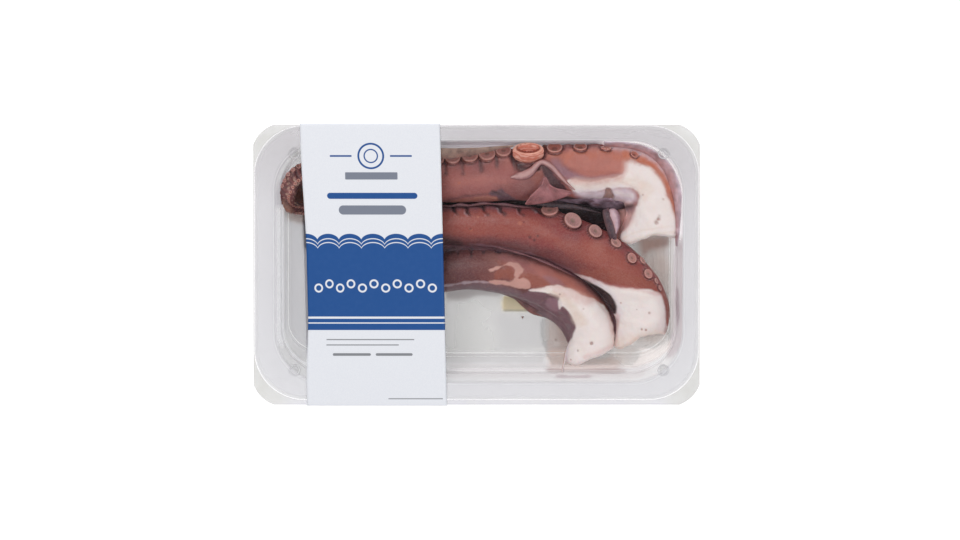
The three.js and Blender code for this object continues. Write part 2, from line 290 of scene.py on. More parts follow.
def mesh_object(name, points, faces, material=None):
    """An object from points in millimetres."""
    mesh = bpy.data.meshes.new(name)
    mesh.from_pydata((np.asarray(points) * MM).tolist(), [], faces)
    mesh.validate()
    mesh.polygons.foreach_set("use_smooth", np.ones(len(mesh.polygons), bool))
    made = bpy.data.objects.new(name, mesh)
    bpy.context.scene.collection.objects.link(made)
    if material:
        mesh.materials.append(material)
    return made


def set_colours(made, name, values):
    """Paints the points of a mesh."""
    layer = made.data.color_attributes.new(name, "FLOAT_COLOR", "POINT")
    rows = np.ones((len(values), 4), np.float32)
    rows[:, :3] = values
    layer.data.foreach_set("color", rows.ravel())


def set_numbers(made, name, values):
    """Gives each point of a mesh a number under a name."""
    layer = made.data.attributes.new(name, "FLOAT", "POINT")
    layer.data.foreach_set("value", np.asarray(values, np.float32))


def tube_faces(rows, columns, start=True):
    """Quads of a tube of rings, with a face across its last ring and, if asked, across its first."""
    faces = grid_faces(rows, columns)
    if start:
        faces.append(list(range(columns))[::-1])
    faces.append(list(range((rows - 1) * columns, rows * columns)))
    return faces


def set_uv(made, coordinates):
    """Gives a mesh a UV map from one pair of coordinates for each of its points."""
    uv = made.data.uv_layers.new(name="UVMap")
    corners = np.array([loop.vertex_index for loop in made.data.loops])
    uv.data.foreach_set("uv", np.asarray(coordinates, float)[corners].ravel())


@contextlib.contextmanager
def opened(made):
    """The mesh of a piece, opened for work and written back at the end."""
    work = bmesh.new()
    work.from_mesh(made.data)
    yield work
    work.to_mesh(made.data)
    work.free()


def turn_outwards(made):
    """Closes seams and points the faces of a closed shape outwards."""
    with opened(made) as work:
        bmesh.ops.remove_doubles(work, verts=work.verts, dist=1e-7)
        bmesh.ops.recalc_face_normals(work, faces=work.faces)


def turn_sheet(made, ring=False):
    """Points the faces of an open sheet upwards or, on a ring, away from its middle."""
    with opened(made) as work:
        middle = sum(v.co.z for v in work.verts) / len(work.verts)
        outward = sum(
            f.normal.z * (f.calc_center_median().z - middle if ring else 1) for f in work.faces
        )
        if outward < 0:
            bmesh.ops.reverse_faces(work, faces=work.faces)


def drop_loose(made):
    """Deletes the points that no face uses."""
    with opened(made) as work:
        bmesh.ops.delete(work, geom=[v for v in work.verts if not v.link_faces], context="VERTS")


def bake_modifiers(made):
    """Turns an object with modifiers into a plain mesh."""
    graph = bpy.context.evaluated_depsgraph_get()
    flat = bpy.data.meshes.new_from_object(made.evaluated_get(graph), depsgraph=graph)
    made.modifiers.clear()
    old = made.data
    made.data = flat
    bpy.data.meshes.remove(old)
    return made


def join(name, objects):
    """One object from several, with its place in its mesh."""
    bpy.ops.object.select_all(action="DESELECT")
    for made in objects:
        made.select_set(True)
    bpy.context.view_layer.objects.active = objects[0]
    bpy.ops.object.join()
    joined = bpy.context.view_layer.objects.active
    joined.name = name
    return joined


def thicken(made, thickness, offset=-1):
    """Gives an open sheet a closed wall."""
    wall = made.modifiers.new("Wall", "SOLIDIFY")
    wall.thickness = thickness
    wall.offset = offset
    return bake_modifiers(made)


def place(made, slot, *nodes):
    """Hands a finished piece to the pack, in place of the plain solids that it stands for."""
    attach(made, BODY)
    if nodes:
        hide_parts(*nodes)


# --- Materials -------------------------------------------------------------------------------------


class Look:
    """A material under construction, and short ways to add its nodes."""

    def __init__(self, name):
        self.material = bpy.data.materials.new(name)
        self.material.use_nodes = True
        self.tree = self.material.node_tree
        self.shader = self.tree.nodes["Principled BSDF"]
        self.bumps = None

    def node(self, kind, **values):
        made = self.tree.nodes.new(kind)
        for name, value in values.items():
            setattr(made, name, value)
        return made

    def link(self, source, target):
        self.tree.links.new(source, target)

    def put(self, socket, value):
        """Sets a socket to a number or a colour, or links it to another socket."""
        if isinstance(value, bpy.types.NodeSocket):
            self.link(value, socket)
        elif isinstance(value, tuple) and len(value) == 3 and socket.type == "RGBA":
            socket.default_value = (*value, 1)
        else:
            socket.default_value = value

    def set(self, **values):
        """Sets the shader's inputs, with _ for each space in a name."""
        for name, value in values.items():
            self.put(self.shader.inputs[name.replace("_", " ")], value)

    def uv(self):
        """The two coordinates of the piece's own UV map."""
        split = self.node("ShaderNodeSeparateXYZ")
        self.link(self.node("ShaderNodeTexCoord").outputs["UV"], split.inputs["Vector"])
        return split.outputs["X"], split.outputs["Y"]

    def place(self, scale=(1, 1, 1)):
        """Object coordinates in metres, stretched."""
        source = self.node("ShaderNodeTexCoord").outputs["Object"]
        if scale == (1, 1, 1):
            return source
        mapping = self.node("ShaderNodeMapping")
        mapping.inputs["Scale"].default_value = scale
        self.link(source, mapping.inputs["Vector"])
        return mapping.outputs["Vector"]

    def noise(self, size, detail=3, roughness=0.5, stretch=(1, 1, 1)):
        """Noise whose bumps are about size millimetres wide."""
        made = self.node("ShaderNodeTexNoise")
        self.link(self.place(stretch), made.inputs["Vector"])
        made.inputs["Scale"].default_value = 1 / (size * MM)
        made.inputs["Detail"].default_value = detail
        made.inputs["Roughness"].default_value = roughness
        return made.outputs["Fac"]

    def cells(self, size):
        """How far each spot is from the middle of a cell about size millimetres wide."""
        made = self.node("ShaderNodeTexVoronoi")
        self.link(self.place(), made.inputs["Vector"])
        made.inputs["Scale"].default_value = 1 / (size * MM)
        return made.outputs["Distance"]

    def attribute(self, name, output="Fac"):
        """What is stored under a name on the points of the mesh."""
        return self.node("ShaderNodeAttribute", attribute_name=name).outputs[output]

    def math(self, operation, *values, clamp=False):
        """One step of arithmetic."""
        made = self.node("ShaderNodeMath", operation=operation, use_clamp=clamp)
        for socket, value in zip(made.inputs, values):
            self.put(socket, value)
        return made.outputs[0]

    def between(self, value, low, high, to_low=0.0, to_high=1.0):
        """A smooth step from to_low at low to to_high at high."""
        made = self.node("ShaderNodeMapRange", interpolation_type="SMOOTHSTEP")
        limits = {"From Min": low, "From Max": high, "To Min": to_low, "To Max": to_high}
        for name, number in limits.items():
            made.inputs[name].default_value = number
        self.put(made.inputs["Value"], value)
        return made.outputs["Result"]

    def mix(self, share, first, second):
        """A blend of two colours."""
        made = self.node("ShaderNodeMix", data_type="RGBA")
        self.put(made.inputs["Factor"], share)
        self.put(made.inputs[6], first)
        self.put(made.inputs[7], second)
        return made.outputs[2]

    def bump(self, height, distance, strength=1.0):
        """Adds relief of that height, in millimetres, over what is there."""
        made = self.node("ShaderNodeBump")
        made.inputs["Strength"].default_value = strength
        made.inputs["Distance"].default_value = distance * MM
        self.put(made.inputs["Height"], height)
        if self.bumps:
            self.link(self.bumps, made.inputs["Normal"])
        self.bumps = made.outputs["Normal"]
        self.link(self.bumps, self.shader.inputs["Normal"])


def plain(values):
    """A colour of the settings as plain numbers."""
    return tuple(values)


# Pleats round a sucker's funnel, and the great sucker's pleats and its pale bands of painted highlight
SUCKER_PLEATS = 16
GREAT_PLEATS = 22
GREAT_HIGHLIGHT_BANDS = 105


def clear_plastic():
    """Clear plastic. Its cast is painted on the mesh, and 'haze' says how dense that cast is."""
    look = Look("Clear tray")
    cloud = look.between(look.noise(40, detail=2), 0.3, 0.7, 0, 0.12)
    look.set(Base_Color=look.mix(cloud, look.attribute("paint", "Color"), rgb(206, 204, 208)))
    look.set(Alpha=look.attribute("haze"), Roughness=0.3, IOR=1.3)
    look.bump(look.noise(18, detail=1), 0.1)
    return look.material


def juice_material(juice):
    """Thin cooking juice, as strong as the attribute 'edge' says."""
    look = Look("Cooking juice")
    streak = look.noise(1.3, detail=3, stretch=(1, 0.12, 1))
    cloud = look.noise(7, detail=4)
    tone = look.mix(look.between(cloud, 0.35, 0.7), plain(juice), rgb(226, 198, 182))
    depth = look.attribute("edge")
    streaks, clouds = look.between(streak, 0.25, 0.8, 0.75, 1.2), look.between(cloud, 0.2, 0.8, 0.8, 1.2)
    uneven = look.math("MULTIPLY", streaks, clouds)
    look.set(Base_Color=tone, Roughness=0.08, IOR=1.34)
    look.set(Alpha=look.math("MULTIPLY", depth, uneven, clamp=True))
    look.bump(cloud, 0.3)
    return look.material


def octopus_material():
    """Wet cooked skin and flesh. The colour is painted on the mesh, and 'flesh' marks the white meat."""
    look = Look("Octopus skin")
    paint = look.attribute("paint", "Color")
    flesh = look.attribute("flesh")
    mottle = look.between(look.noise(5.5, detail=5, roughness=0.6), 0.3, 0.72)
    grain = look.between(look.noise(0.9, detail=4, roughness=0.65), 0.3, 0.72)
    dark = look.mix(0.24, paint, rgb(88, 44, 50))
    skin = look.mix(look.math("MULTIPLY", mottle, 0.55), paint, dark)
    skin = look.mix(look.math("MULTIPLY", grain, 0.13), skin, rgb(214, 160, 146))
    freckle = look.between(look.cells(1.5), 0.16, 0.05)
    patchy = look.math("MULTIPLY", freckle, look.between(look.noise(6, detail=2), 0.48, 0.62, 0, 0.3))
    skin = look.mix(patchy, skin, rgb(96, 56, 60))
    meat = look.mix(look.math("MULTIPLY", grain, 0.22), paint, rgb(226, 202, 198))
    meat = look.mix(look.math("MULTIPLY", mottle, 0.35), meat, rgb(250, 242, 240))
    look.set(Base_Color=look.mix(flesh, skin, meat))
    look.set(Roughness=look.between(look.noise(2.4, detail=3), 0.3, 0.7, 0.42, 0.58))
    look.set(IOR=1.4, Coat_Weight=0.14, Coat_Roughness=0.2, Subsurface_Weight=0.14, Subsurface_Scale=0.004)
    look.shader.inputs["Subsurface Radius"].default_value = (1.0, 0.45, 0.3)
    look.bump(look.noise(2.6, detail=4, roughness=0.6), 0.3, 0.8)
    look.bump(look.noise(0.7, detail=3, roughness=0.6), 0.07)
    return look.material


def dark_web_and_shade_material():
    """Dark wet web in the folds, with brown streaks and blue-grey streaks of painted sheen."""
    if "Dark web and shade" in bpy.data.materials:
        return bpy.data.materials["Dark web and shade"]
    look = Look("Dark web and shade")
    streak = look.noise(1.8, detail=4, stretch=(0.35, 1, 1))
    brown = look.between(streak, 0.54, 0.72, 0, 0.5)
    tone = look.mix(brown, look.attribute("paint", "Color"), rgb(92, 44, 44))
    # Painted sheen: blue-grey patches
    tone = look.mix(look.between(look.noise(3.2, detail=3), 0.58, 0.72, 0, 0.5), tone, rgb(56, 48, 64))
    look.set(Base_Color=tone, Roughness=0.4, IOR=1.4, Coat_Weight=0.12, Coat_Roughness=0.2)
    look.bump(look.noise(1.4, detail=3), 0.4)
    return look.material


def sucker_material(cup, warm):
    """A sucker from its skirt to its hole, along the second coordinate of its own UV map."""
    look = Look("Sucker")
    around, along = look.uv()
    warmth = look.attribute("warmth")
    tone = look.mix(warmth, plain(cup), plain(warm))
    skirt = look.mix(look.between(look.noise(0.7), 0.3, 0.7), rgb(112, 62, 60), rgb(142, 90, 84))
    # The rim is paler: its own colour, with a painted highlight
    rim = look.mix(look.between(warmth, 0.5, 0.8, 0.45, 0.8), tone, rgb(236, 186, 174))
    wave = look.math("SINE", look.math("MULTIPLY", around, 2 * math.pi * SUCKER_PLEATS))
    inner = look.mix(warmth, rgb(192, 146, 142), rgb(190, 112, 94))
    funnel = look.mix(look.between(wave, -0.6, 0.8, 0.4, 0.8), tone, inner)
    base = look.mix(look.between(along, 0.24, 0.36), skirt, tone)
    base = look.mix(look.between(along, 0.4, 0.48), base, rim)
    base = look.mix(look.between(along, 0.56, 0.64), base, funnel)
    hole = look.mix(warmth, rgb(164, 136, 126), rgb(150, 82, 66))
    base = look.mix(look.between(along, 0.76, 0.9), base, hole)
    speck = look.between(look.noise(0.5, detail=4), 0.3, 0.7)
    look.set(Base_Color=look.mix(look.math("MULTIPLY", speck, 0.3), base, rgb(120, 66, 60)))
    look.set(Roughness=0.3, IOR=1.42, Coat_Weight=0.3, Coat_Roughness=0.12)
    look.set(Subsurface_Weight=0.1, Subsurface_Scale=0.002)
    look.bump(look.noise(0.6, detail=3), 0.08)
    return look.material


def great_sucker_material(warm):
    """The great sucker: pale bands of painted highlight round its outside, and a deep red-brown hollow
    that is painted darker towards its bottom as shade.
    """
    look = Look("Great sucker")
    around, along = look.uv()
    wobble = look.math("ADD", along, look.between(look.noise(4, detail=2), 0.3, 0.7, -0.02, 0.02))
    highlight_band = look.between(look.math("SINE", look.math("MULTIPLY", wobble, GREAT_HIGHLIGHT_BANDS)), -0.8, 0.9)
    base = look.mix(highlight_band, rgb(230, 138, 118), rgb(254, 192, 174))
    base = look.mix(look.between(along, 0.45, 0.5), base, rgb(236, 176, 156))
    wave = look.math("SINE", look.math("MULTIPLY", around, 2 * math.pi * GREAT_PLEATS))
    pleat = look.between(wave, -0.7, 0.9)
    hollow = look.mix(pleat, rgb(142, 72, 60), rgb(170, 98, 84))
    base = look.mix(look.between(along, 0.54, 0.64), base, hollow)
    # Painted shade: the hollow darkens towards its bottom
    base = look.mix(look.between(along, 0.66, 0.9), base, rgb(112, 54, 46))
    flush = look.between(look.noise(1.6, detail=4), 0.35, 0.75, 0, 0.35)
    look.set(Base_Color=look.mix(flush, base, plain(warm)))
    look.set(Roughness=0.3, IOR=1.42, Coat_Weight=0.3, Coat_Roughness=0.12)
    look.bump(look.noise(1.6, detail=3), 0.1)
    return look.material


def sticker_material(yellow):
    """Pale paper."""
    look = Look("Pale sticker")
    spread = look.between(look.noise(3.5, detail=3), 0.3, 0.7)
    look.set(Base_Color=look.mix(spread, plain(yellow), rgb(212, 204, 172)), Roughness=0.6)
    look.bump(look.noise(0.4), 0.03)
    return look.material


def scrap_material():
    """Brown crumbs of skin."""
    look = Look("Scraps")
    spread = look.between(look.noise(0.8, detail=3), 0.3, 0.7)
    look.set(Base_Color=look.mix(spread, rgb(70, 40, 36), rgb(126, 78, 64)), Roughness=0.35)
    look.bump(look.noise(0.3), 0.1)
    return look.material


# --- Tray, film, sticker and juice ------------------------------------------------------------------

RIM = {"half": (105.5, 63.8), "radius": 27.5, "middle": (1.2, 1.4)}
FLANGE = {"half": (114.5, 71.7), "radius": 26.0, "middle": (0.0, 1.1)}
LIP_DROP = 1.3
# How far the wall has come in on the long sides and on the short sides, and how deep it is there
WALL_PROFILE = [
    (0.0, 0.0, 0.0),
    (0.9, 0.9, 0.9),
    (3.9, 3.7, 11.6),
    (4.6, 4.3, 12.2),
    (6.3, 5.1, 12.7),
    (9.8, 6.3, 26.4),
    (11.2, 7.2, 29.1),
    (13.2, 8.8, 30.0),
]
# The rolled edge, as (how far out, height, how sharply it bends); its bends are painted white as highlights
LIP_PROFILE = [
    (0.0, -LIP_DROP, -0.7), (0.0, -0.55, -0.7), (-0.12, -0.2, -0.4), (-0.4, -0.03, 0.25), (-0.8, 0.0, 0.5),
    (-1.5, 0.0, 0.45), (-2.2, 0.0, 0.05),
]
# How strongly the wall's bends are painted white as highlights, by their depth
BEND_STRENGTH = (
    (0, 0.5, 3, 10, 11.6, 12.7, 14, 25, 26.4, 28, 30),
    (0.8, 0.2, 0.1, 0.2, 0.7, 0.3, 0.1, 0.1, -0.2, -0.4, -0.3),
)
FOOT = {"half": (30.0, 48.0), "radius": 4.0, "middle": (67.0, 1.4), "drop": 0.9, "slope": 0.9}
# Low ribs across the right-hand part of the floor
RIB = {"height": 0.12, "pitch": 0.9, "from_x": 40}
LUG = {"x": 95.0, "y": 56.6, "radius": 2.1, "depth": 5.5, "sides": 36}
# Bends below this strength are the lugs' own walls, which stay nearly clear and are painted white to
# lighten them
LUG_BEND = -0.75
# How strongly the flange is painted darker as shade, by its place along Y, and how strongly the floor is
# painted
# darker, by its place along X: less on the left, where the sleeve's shadow already falls
FLANGE_SHADE = ((-70, -20, 30, 55, 70), (0.0, 0.2, 0.35, 0.8, 1.0))
FLOOR_SHADE = ((-98, -80, -30, 100), (0.1, 0.25, 1.0, 1.0))
# Juice stains, painted reflections of the arms in the wall, painted shade under the arms and painted light
# where shadows fall: an outline in the camera's view, its tone, how strong it is, how soft its edge is, and
# how much it thickens the haze. Only outlines of more points than MOST_STRAIGHT are rounded.
TRAY_STAINS_AND_PAINTED_LIGHT = [
    # Painted reflection of the upper arm in the far wall
    ([(440, 141.5), (604, 141.5), (604, 150), (440, 150)], (176, 150, 174), 0.85, 1.4, 0.3),
    # Painted light: lifts the shade in the gap between the upper arm and the wall
    (
        [
            (600, 141), (640, 141.5), (658, 149), (674, 166), (684, 196), (685, 238), (676, 238),
            (672, 200), (658, 172), (640, 156), (600, 150),
        ],
        (242, 226, 236), 0.9, 1.4, -0.2,
    ),
    # Painted reflections of the arms in the right-hand wall
    ([(676, 236), (685, 236), (684, 252), (677, 252)], (196, 172, 184), 0.7, 2.0, 0.1),
    (
        [(676, 246), (684, 246), (684, 330), (677, 352), (668, 358), (668, 345), (673, 320)],
        (198, 178, 188), 0.8, 2.0, 0.12,
    ),
    ([(676, 286), (678.5, 290), (679.5, 318), (677, 330), (675.5, 300)], (160, 132, 148), 0.75, 0.9, 0.2),
    # Painted light: lifts the shadow on the floor beside the upper arm's cut end
    ([(656, 248), (671, 246), (671, 270), (660, 270)], (250, 236, 232), 0.7, 4, 0),
    # Painted shade on the floor under the edge of the upper arm's cut end
    ([(638, 238), (672, 236), (668, 245), (652, 250), (644, 256)], (190, 128, 106), 0.9, 4, 0.2),
    # Painted shadow under the lower arm's inner edge
    (
        [(446, 286), (480, 285), (500, 290), (500, 295), (480, 295.5), (446, 299)], (140, 122, 122), 0.6,
        3.2, 0.3,
    ),
    # Painted shade on the floor
    ([(498, 314), (546, 314), (546, 349), (498, 349)], (182, 180, 183), 0.6, 9, 0.05),
    ([(446, 352), (544, 352), (544, 363), (446, 363)], (192, 187, 190), 0.6, 2, 0.04),
    (
        [(646, 258), (664, 262), (672, 300), (672, 332), (664, 342), (664, 300)], (214, 196, 188), 0.75,
        5, 0,
    ),
    (
        [
            (549, 350), (560, 350), (572, 352), (600, 358), (620, 354), (622, 362), (614, 370),
            (580, 370.5), (549, 370.5), (549, 360),
        ],
        (248, 206, 186), 0.9, 2.8, 0.06,
    ),
    (
        [(546, 368.6), (570, 369.2), (626, 369.4), (626, 372), (568, 372.2), (546, 371.6)],
        (150, 104, 92), 0.8, 0.9, 0.25,
    ),
    # Painted reflections of the arms in the front wall
    ([(446, 364), (640, 364), (652, 366), (642, 377), (446, 377)], (214, 201, 204), 0.5, 2, 0.05),
    (
        [(556, 375), (575, 375.6), (592, 375), (592, 377.2), (574, 377.8), (556, 377)], (190, 158, 170),
        0.6, 0.7, 0.2,
    ),
    # Juice left of the lower arm's cut end, with painted shade
    (
        [(546.5, 302), (562, 308), (578, 332), (577, 350.5), (546.5, 350.5)], (208, 180, 170), 0.8, 1.0,
        0.07,
    ),
    # Painted shade next to the lower arm's cut end
    ([(554, 312), (564, 318), (578, 334), (575, 349), (561, 349)], (184, 136, 118), 0.85, 4, 0.08),
    # Painted light: lifts the shadow below the cut ends of the middle and lower arms
    (
        [(618, 342), (640, 338), (668, 336), (670, 346), (655, 360), (625, 366), (612, 352)],
        (250, 228, 218), 0.8, 3, -0.14,
    ),
    ([(282, 208), (304, 212), (304, 223), (290, 221), (283, 215)], (196, 160, 146), 0.9, 3.5, 0.1),
    ([(284.8, 212), (286.4, 212), (286.4, 330), (284.8, 330)], (176, 178, 192), 0.8, 0.6, 0.1),
    ([(275.5, 204), (283.5, 204), (283.5, 345), (275.5, 345)], (232, 231, 242), 0.75, 1.0, -0.1),
    (
        [
            (275, 206), (278, 186), (287, 168), (297, 159), (303, 156), (303, 166), (292, 172),
            (285, 186), (282, 206),
        ],
        (200, 197, 212), 0.8, 1.5, 0.1,
    ),
    # Painted light: brightens the sticker seen through the floor
    ([(502, 296), (528, 296), (528, 311), (502, 311)], (255, 240, 205), 0.9, 0.8, 0.22),
    ([(448, 303), (454, 303), (454, 346), (448, 346)], (222, 221, 222), 0.4, 2.5, 0),
    ([(302.6, 213), (306, 213), (307, 249), (303.6, 249)], (70, 74, 90), 0.9, 1.2, 0.5),
]
# Outlines of stains and painted light with more points than this are rounded
MOST_STRAIGHT = 5
# The wall turns into the floor between these depths, and beyond this place along Y lies the far wall, on
# which stains and painted light show near the rim alone
FLOOR_FROM = (22, 29)
FAR_WALL = 45
# How dense the tray's milky cast is, how much less on the floor and the wall, and how much more at a bend
HAZE = {"base": 0.42, "floor": 0.06, "wall": 0.08, "bend": 0.5, "limits": (0.06, 0.95)}
CORNER_STEPS = 28
SIDE_STEPS = (96, 52)


def outline_ring(half, radius, middle, cut=0.0):
    """Points of a rectangle with quarter-ellipse corners, anticlockwise from the top of its right side.
    With a cut above 0, the corners are flatter, up to a straight cut at 1."""
    radius_x, radius_y = radius if isinstance(radius, tuple) else (radius, radius)
    straight = (half[0] - radius_x, half[1] - radius_y)
    ring = []
    for corner, (sx, sy) in enumerate(((1, 1), (-1, 1), (-1, -1), (1, -1))):
        for i in range(CORNER_STEPS + 1):
            angle = (corner + i / CORNER_STEPS) * math.pi / 2
            share = i / CORNER_STEPS if corner % 2 else 1 - i / CORNER_STEPS
            x = sx * ((1 - cut) * abs(math.cos(angle)) + cut * share)
            y = sy * ((1 - cut) * abs(math.sin(angle)) + cut * (1 - share))
            ring.append((sx * straight[0] + radius_x * x, sy * straight[1] + radius_y * y))
        start = np.array(ring[-1])
        turn = ((-1, 1), (-1, -1), (1, -1), (1, 1))[corner]
        length_x, length_y = 2 * straight[0], 2 * straight[1]
        goes = np.array((turn[0] * length_x, 0) if corner % 2 == 0 else (0, turn[1] * length_y))
        steps = SIDE_STEPS[corner % 2]
        ring.extend(tuple(start + goes * k / steps) for k in range(1, steps))
    return np.array(ring) + middle


def ring_of(shape, long_in=0.0, short_in=0.0):
    """The outline of the rim, flange or foot, drawn in by so much on its long and its short sides."""
    (long_half, short_half), radius = shape["half"], shape["radius"]
    half = (long_half - short_in, short_half - long_in)
    return outline_ring(half, (radius - short_in, radius - long_in), shape["middle"])


def foot_sunk(flat):
    """How far the foot lets the floor down at each point of a plan, and how far inside it that point is."""
    inside = inside_by(flat, ring_of(FOOT)[::3])
    return FOOT["drop"] * smooth(inside, -FOOT["slope"], FOOT["slope"]), inside


def wall_inset(depth):
    """How far the wall has come in at a depth, on the long and on the short sides."""
    depths = [row[2] for row in WALL_PROFILE]
    return tuple(np.interp(depth, depths, [row[k] for row in WALL_PROFILE]) for k in (0, 1))


def fillet(before, here, after, radius, hold, steps):
    """The points of a corner that is rounded off, over at most a share of its two sides."""
    back, ahead = before - here, after - here
    reach = min(radius, hold * np.linalg.norm(back), hold * np.linalg.norm(ahead))
    start = here + back / np.linalg.norm(back) * reach
    end = here + ahead / np.linalg.norm(ahead) * reach
    shares = np.arange(steps + 1) / steps
    return [(1 - t) ** 2 * start + 2 * t * (1 - t) * here + t**2 * end for t in shares]


def bend_lines(profile, radius=0.7, steps=4):
    """A profile with its corners rounded off, and how sharply it bends at each of its points."""
    rows = np.array(profile, float)
    made = [rows[0]]
    bends = [0.0]
    for before, here, after in zip(rows, rows[1:], rows[2:]):
        made += fillet(before, here, after, radius, 0.42, steps)
        bends += [1 - abs(2 * k / steps - 1) ** 2 for k in range(steps + 1)]
    made.append(rows[-1])
    bends.append(0.0)
    return np.array(made), np.array(bends)


def add_ring(rings, ring, z, edge):
    """Adds a ring of points at a height, with how sharply it bends there."""
    rings.append((np.column_stack([ring, np.full(len(ring), z) if np.isscalar(z) else z]), edge))


def filled(profile, bends, spacing=0.9):
    """A profile with more points along its straight stretches."""
    rows, marks = [profile[0]], [bends[0]]
    for before, after, mark in zip(profile, profile[1:], bends[1:]):
        count = max(1, int(np.linalg.norm(after - before) / spacing))
        rows += [before + (after - before) * k / count for k in range(1, count + 1)]
        marks += [0.0] * (count - 1) + [mark]
    return np.array(rows), np.array(marks)


def tray_points():
    """The tray's upper surface from its rolled edge inwards to the middle of the floor, ring by ring."""
    rings = []
    flange = ring_of(FLANGE)
    rim = ring_of(RIM)
    outwards = flange - ring_of(FLANGE, 1, 1)
    for out, z, edge in LIP_PROFILE:
        add_ring(rings, flange + outwards * out, FLANGE_TOP + z, edge)
    start = rings[-1][0][:, :2]
    for share in np.linspace(0.08, 0.92, 12):
        add_ring(rings, start + (rim - start) * share, FLANGE_TOP, 0.0)
    add_ring(rings, start + (rim - start) * 0.96, FLANGE_TOP, 0.3)
    profile, bends = filled(*bend_lines(WALL_PROFILE))
    strength = np.interp(profile[:, 2], *BEND_STRENGTH)
    for (long_in, short_in, depth), bend, strong in zip(profile, bends, strength):
        add_ring(rings, ring_of(RIM, long_in, short_in), FLANGE_TOP - depth, bend * strong)
    long_in, short_in, _ = WALL_PROFILE[-1]
    floor_half = np.array((RIM["half"][0] - short_in, RIM["half"][1] - long_in))
    floor_radius = RIM["radius"] - long_in
    for inset in np.concatenate([np.arange(1.0, 12, 1.0), np.arange(12, floor_half[1] - 0.5, 1.5)]):
        radius = max(floor_radius - inset, 0.3)
        ring = outline_ring(tuple(floor_half - inset), radius, RIM["middle"])
        sunk, step = foot_sunk(ring)
        ribs = RIB["height"] * np.sin(ring[:, 0] * RIB["pitch"]) ** 12 * (ring[:, 0] > RIB["from_x"])
        edge = -0.1 * np.exp(-((step / 1.2) ** 2)) * (ring[:, 0] < 90)
        add_ring(rings, ring, FLOOR_TOP - sunk + ribs, edge)
    return rings


def lug_points():
    """Small round pockets that hang from the rim at its four corners, with how sharply they bend."""
    radius, depth, sides = LUG["radius"], LUG["depth"], LUG["sides"]
    profile = [
        (radius + 0.9, 0.0, -0.7), (radius + 0.5, 0.05, 0.5), (radius + 0.1, -0.2, 0.5),
        (radius - 0.1, -1.0, -0.8), (radius - 0.25, -depth + 0.7, -0.8), (radius - 0.5, -depth + 0.2, -0.8),
        (radius - 0.9, -depth, -0.8), (0.1, -depth, -0.8),
    ]
    points = []
    faces = []
    edge = []
    turn = 2 * math.pi * np.arange(sides) / sides
    for sx, sy in itertools.product((-1, 1), repeat=2):
        x, y = np.array(RIM["middle"]) + (sx * LUG["x"], sy * LUG["y"])
        faces += [[len(points) + k for k in face] for face in tube_faces(len(profile), sides, start=False)]
        for reach, height, bend in profile:
            ring = [(x + reach * math.cos(t), y + reach * math.sin(t)) for t in turn]
            points += [(*spot, FLANGE_TOP + height) for spot in ring]
            edge += [bend] * sides
    return np.array(points), faces, edge


def blend(tones, tone, mask):
    """Lays a tone over others, as strongly as the mask says."""
    tones += (np.array(tone) - tones) * np.clip(mask, 0, 1)[:, None]


def paint_tray(made, spots, bend, settings):
    """Milky cast of the tray, with painted shade, light, highlights and reflections, and juice stains."""
    depth = FLANGE_TOP - spots[:, 2]
    floor = smooth(depth, *FLOOR_FROM)
    tones = np.tile(plain(settings.plastic), (len(spots), 1))
    # Painted shade: the flange is painted darker towards its far rim
    blend(tones, settings.shaded_plastic, smooth(depth, 3, 0.5) * np.interp(spots[:, 1], *FLANGE_SHADE))
    # The floor is painted darker, less on the left, where the sleeve's shadow already falls
    blend(tones, settings.floor_plastic, floor * np.interp(spots[:, 0], *FLOOR_SHADE))
    # Painted light: the steep walls, which the lamps light less, are painted lighter
    wall = smooth(depth, 0.7, 4) * (1 - floor)
    blend(tones, (1, 1, 1), 0.45 * wall)
    haze = HAZE["base"] - HAZE["floor"] * floor - HAZE["wall"] * wall
    view = in_view(spots)
    uneven = rough(spots, 6, seed=6)
    shown = np.where(spots[:, 1] > FAR_WALL, smooth(depth, 17, 10), 1)
    # Juice stains, painted reflections, painted shade and painted light, one outline at a time
    for outline, tone, strength, soft, dense in TRAY_STAINS_AND_PAINTED_LIGHT:
        corners = rounded(outline) if len(outline) > MOST_STRAIGHT else np.array(outline, float)
        inside = inside_by(view, corners) + 0.35 * soft * uneven
        stain_and_light = strength * smooth(inside, -soft, soft) * (depth > 0.8) * shown
        blend(tones, rgb(*tone), stain_and_light)
        haze += dense * stain_and_light
    # Painted light: the lugs' own walls are painted white
    blend(tones, (1, 1, 1), 0.85 * (bend < LUG_BEND))
    # Painted highlights: the bends are painted white
    bend = bend * (1 + 0.3 * rough(spots, 20, seed=4))
    blend(tones, (1, 1, 1), bend)
    set_colours(made, "paint", tones)
    set_numbers(made, "haze", np.clip(haze + HAZE["bend"] * bend, *HAZE["limits"]))


def build_tray(settings):
    """The clear tray and its four pockets."""
    rings = tray_points()
    count = len(rings[0][0])
    points = np.vstack([ring for ring, _ in rings])
    edge = np.concatenate([np.broadcast_to(value, (count,)) for _, value in rings])
    faces = tube_faces(len(rings), count, start=False)
    material = clear_plastic()
    for name, spots, parts, bend in (("tray_shell", points, faces, edge), ("tray_lugs", *lug_points())):
        made = mesh_object(name, spots, parts, material)
        paint_tray(made, spots, np.array(bend), settings)
        thicken(made, settings.wall)
        place(made, "tray_plastic", "tray")


# The film's corners, and how much of its ripple goes up and down and how far it sags
FILM = {"radius": 10.6, "cut": 0.45, "wave": 0.65, "sag": 0.3}


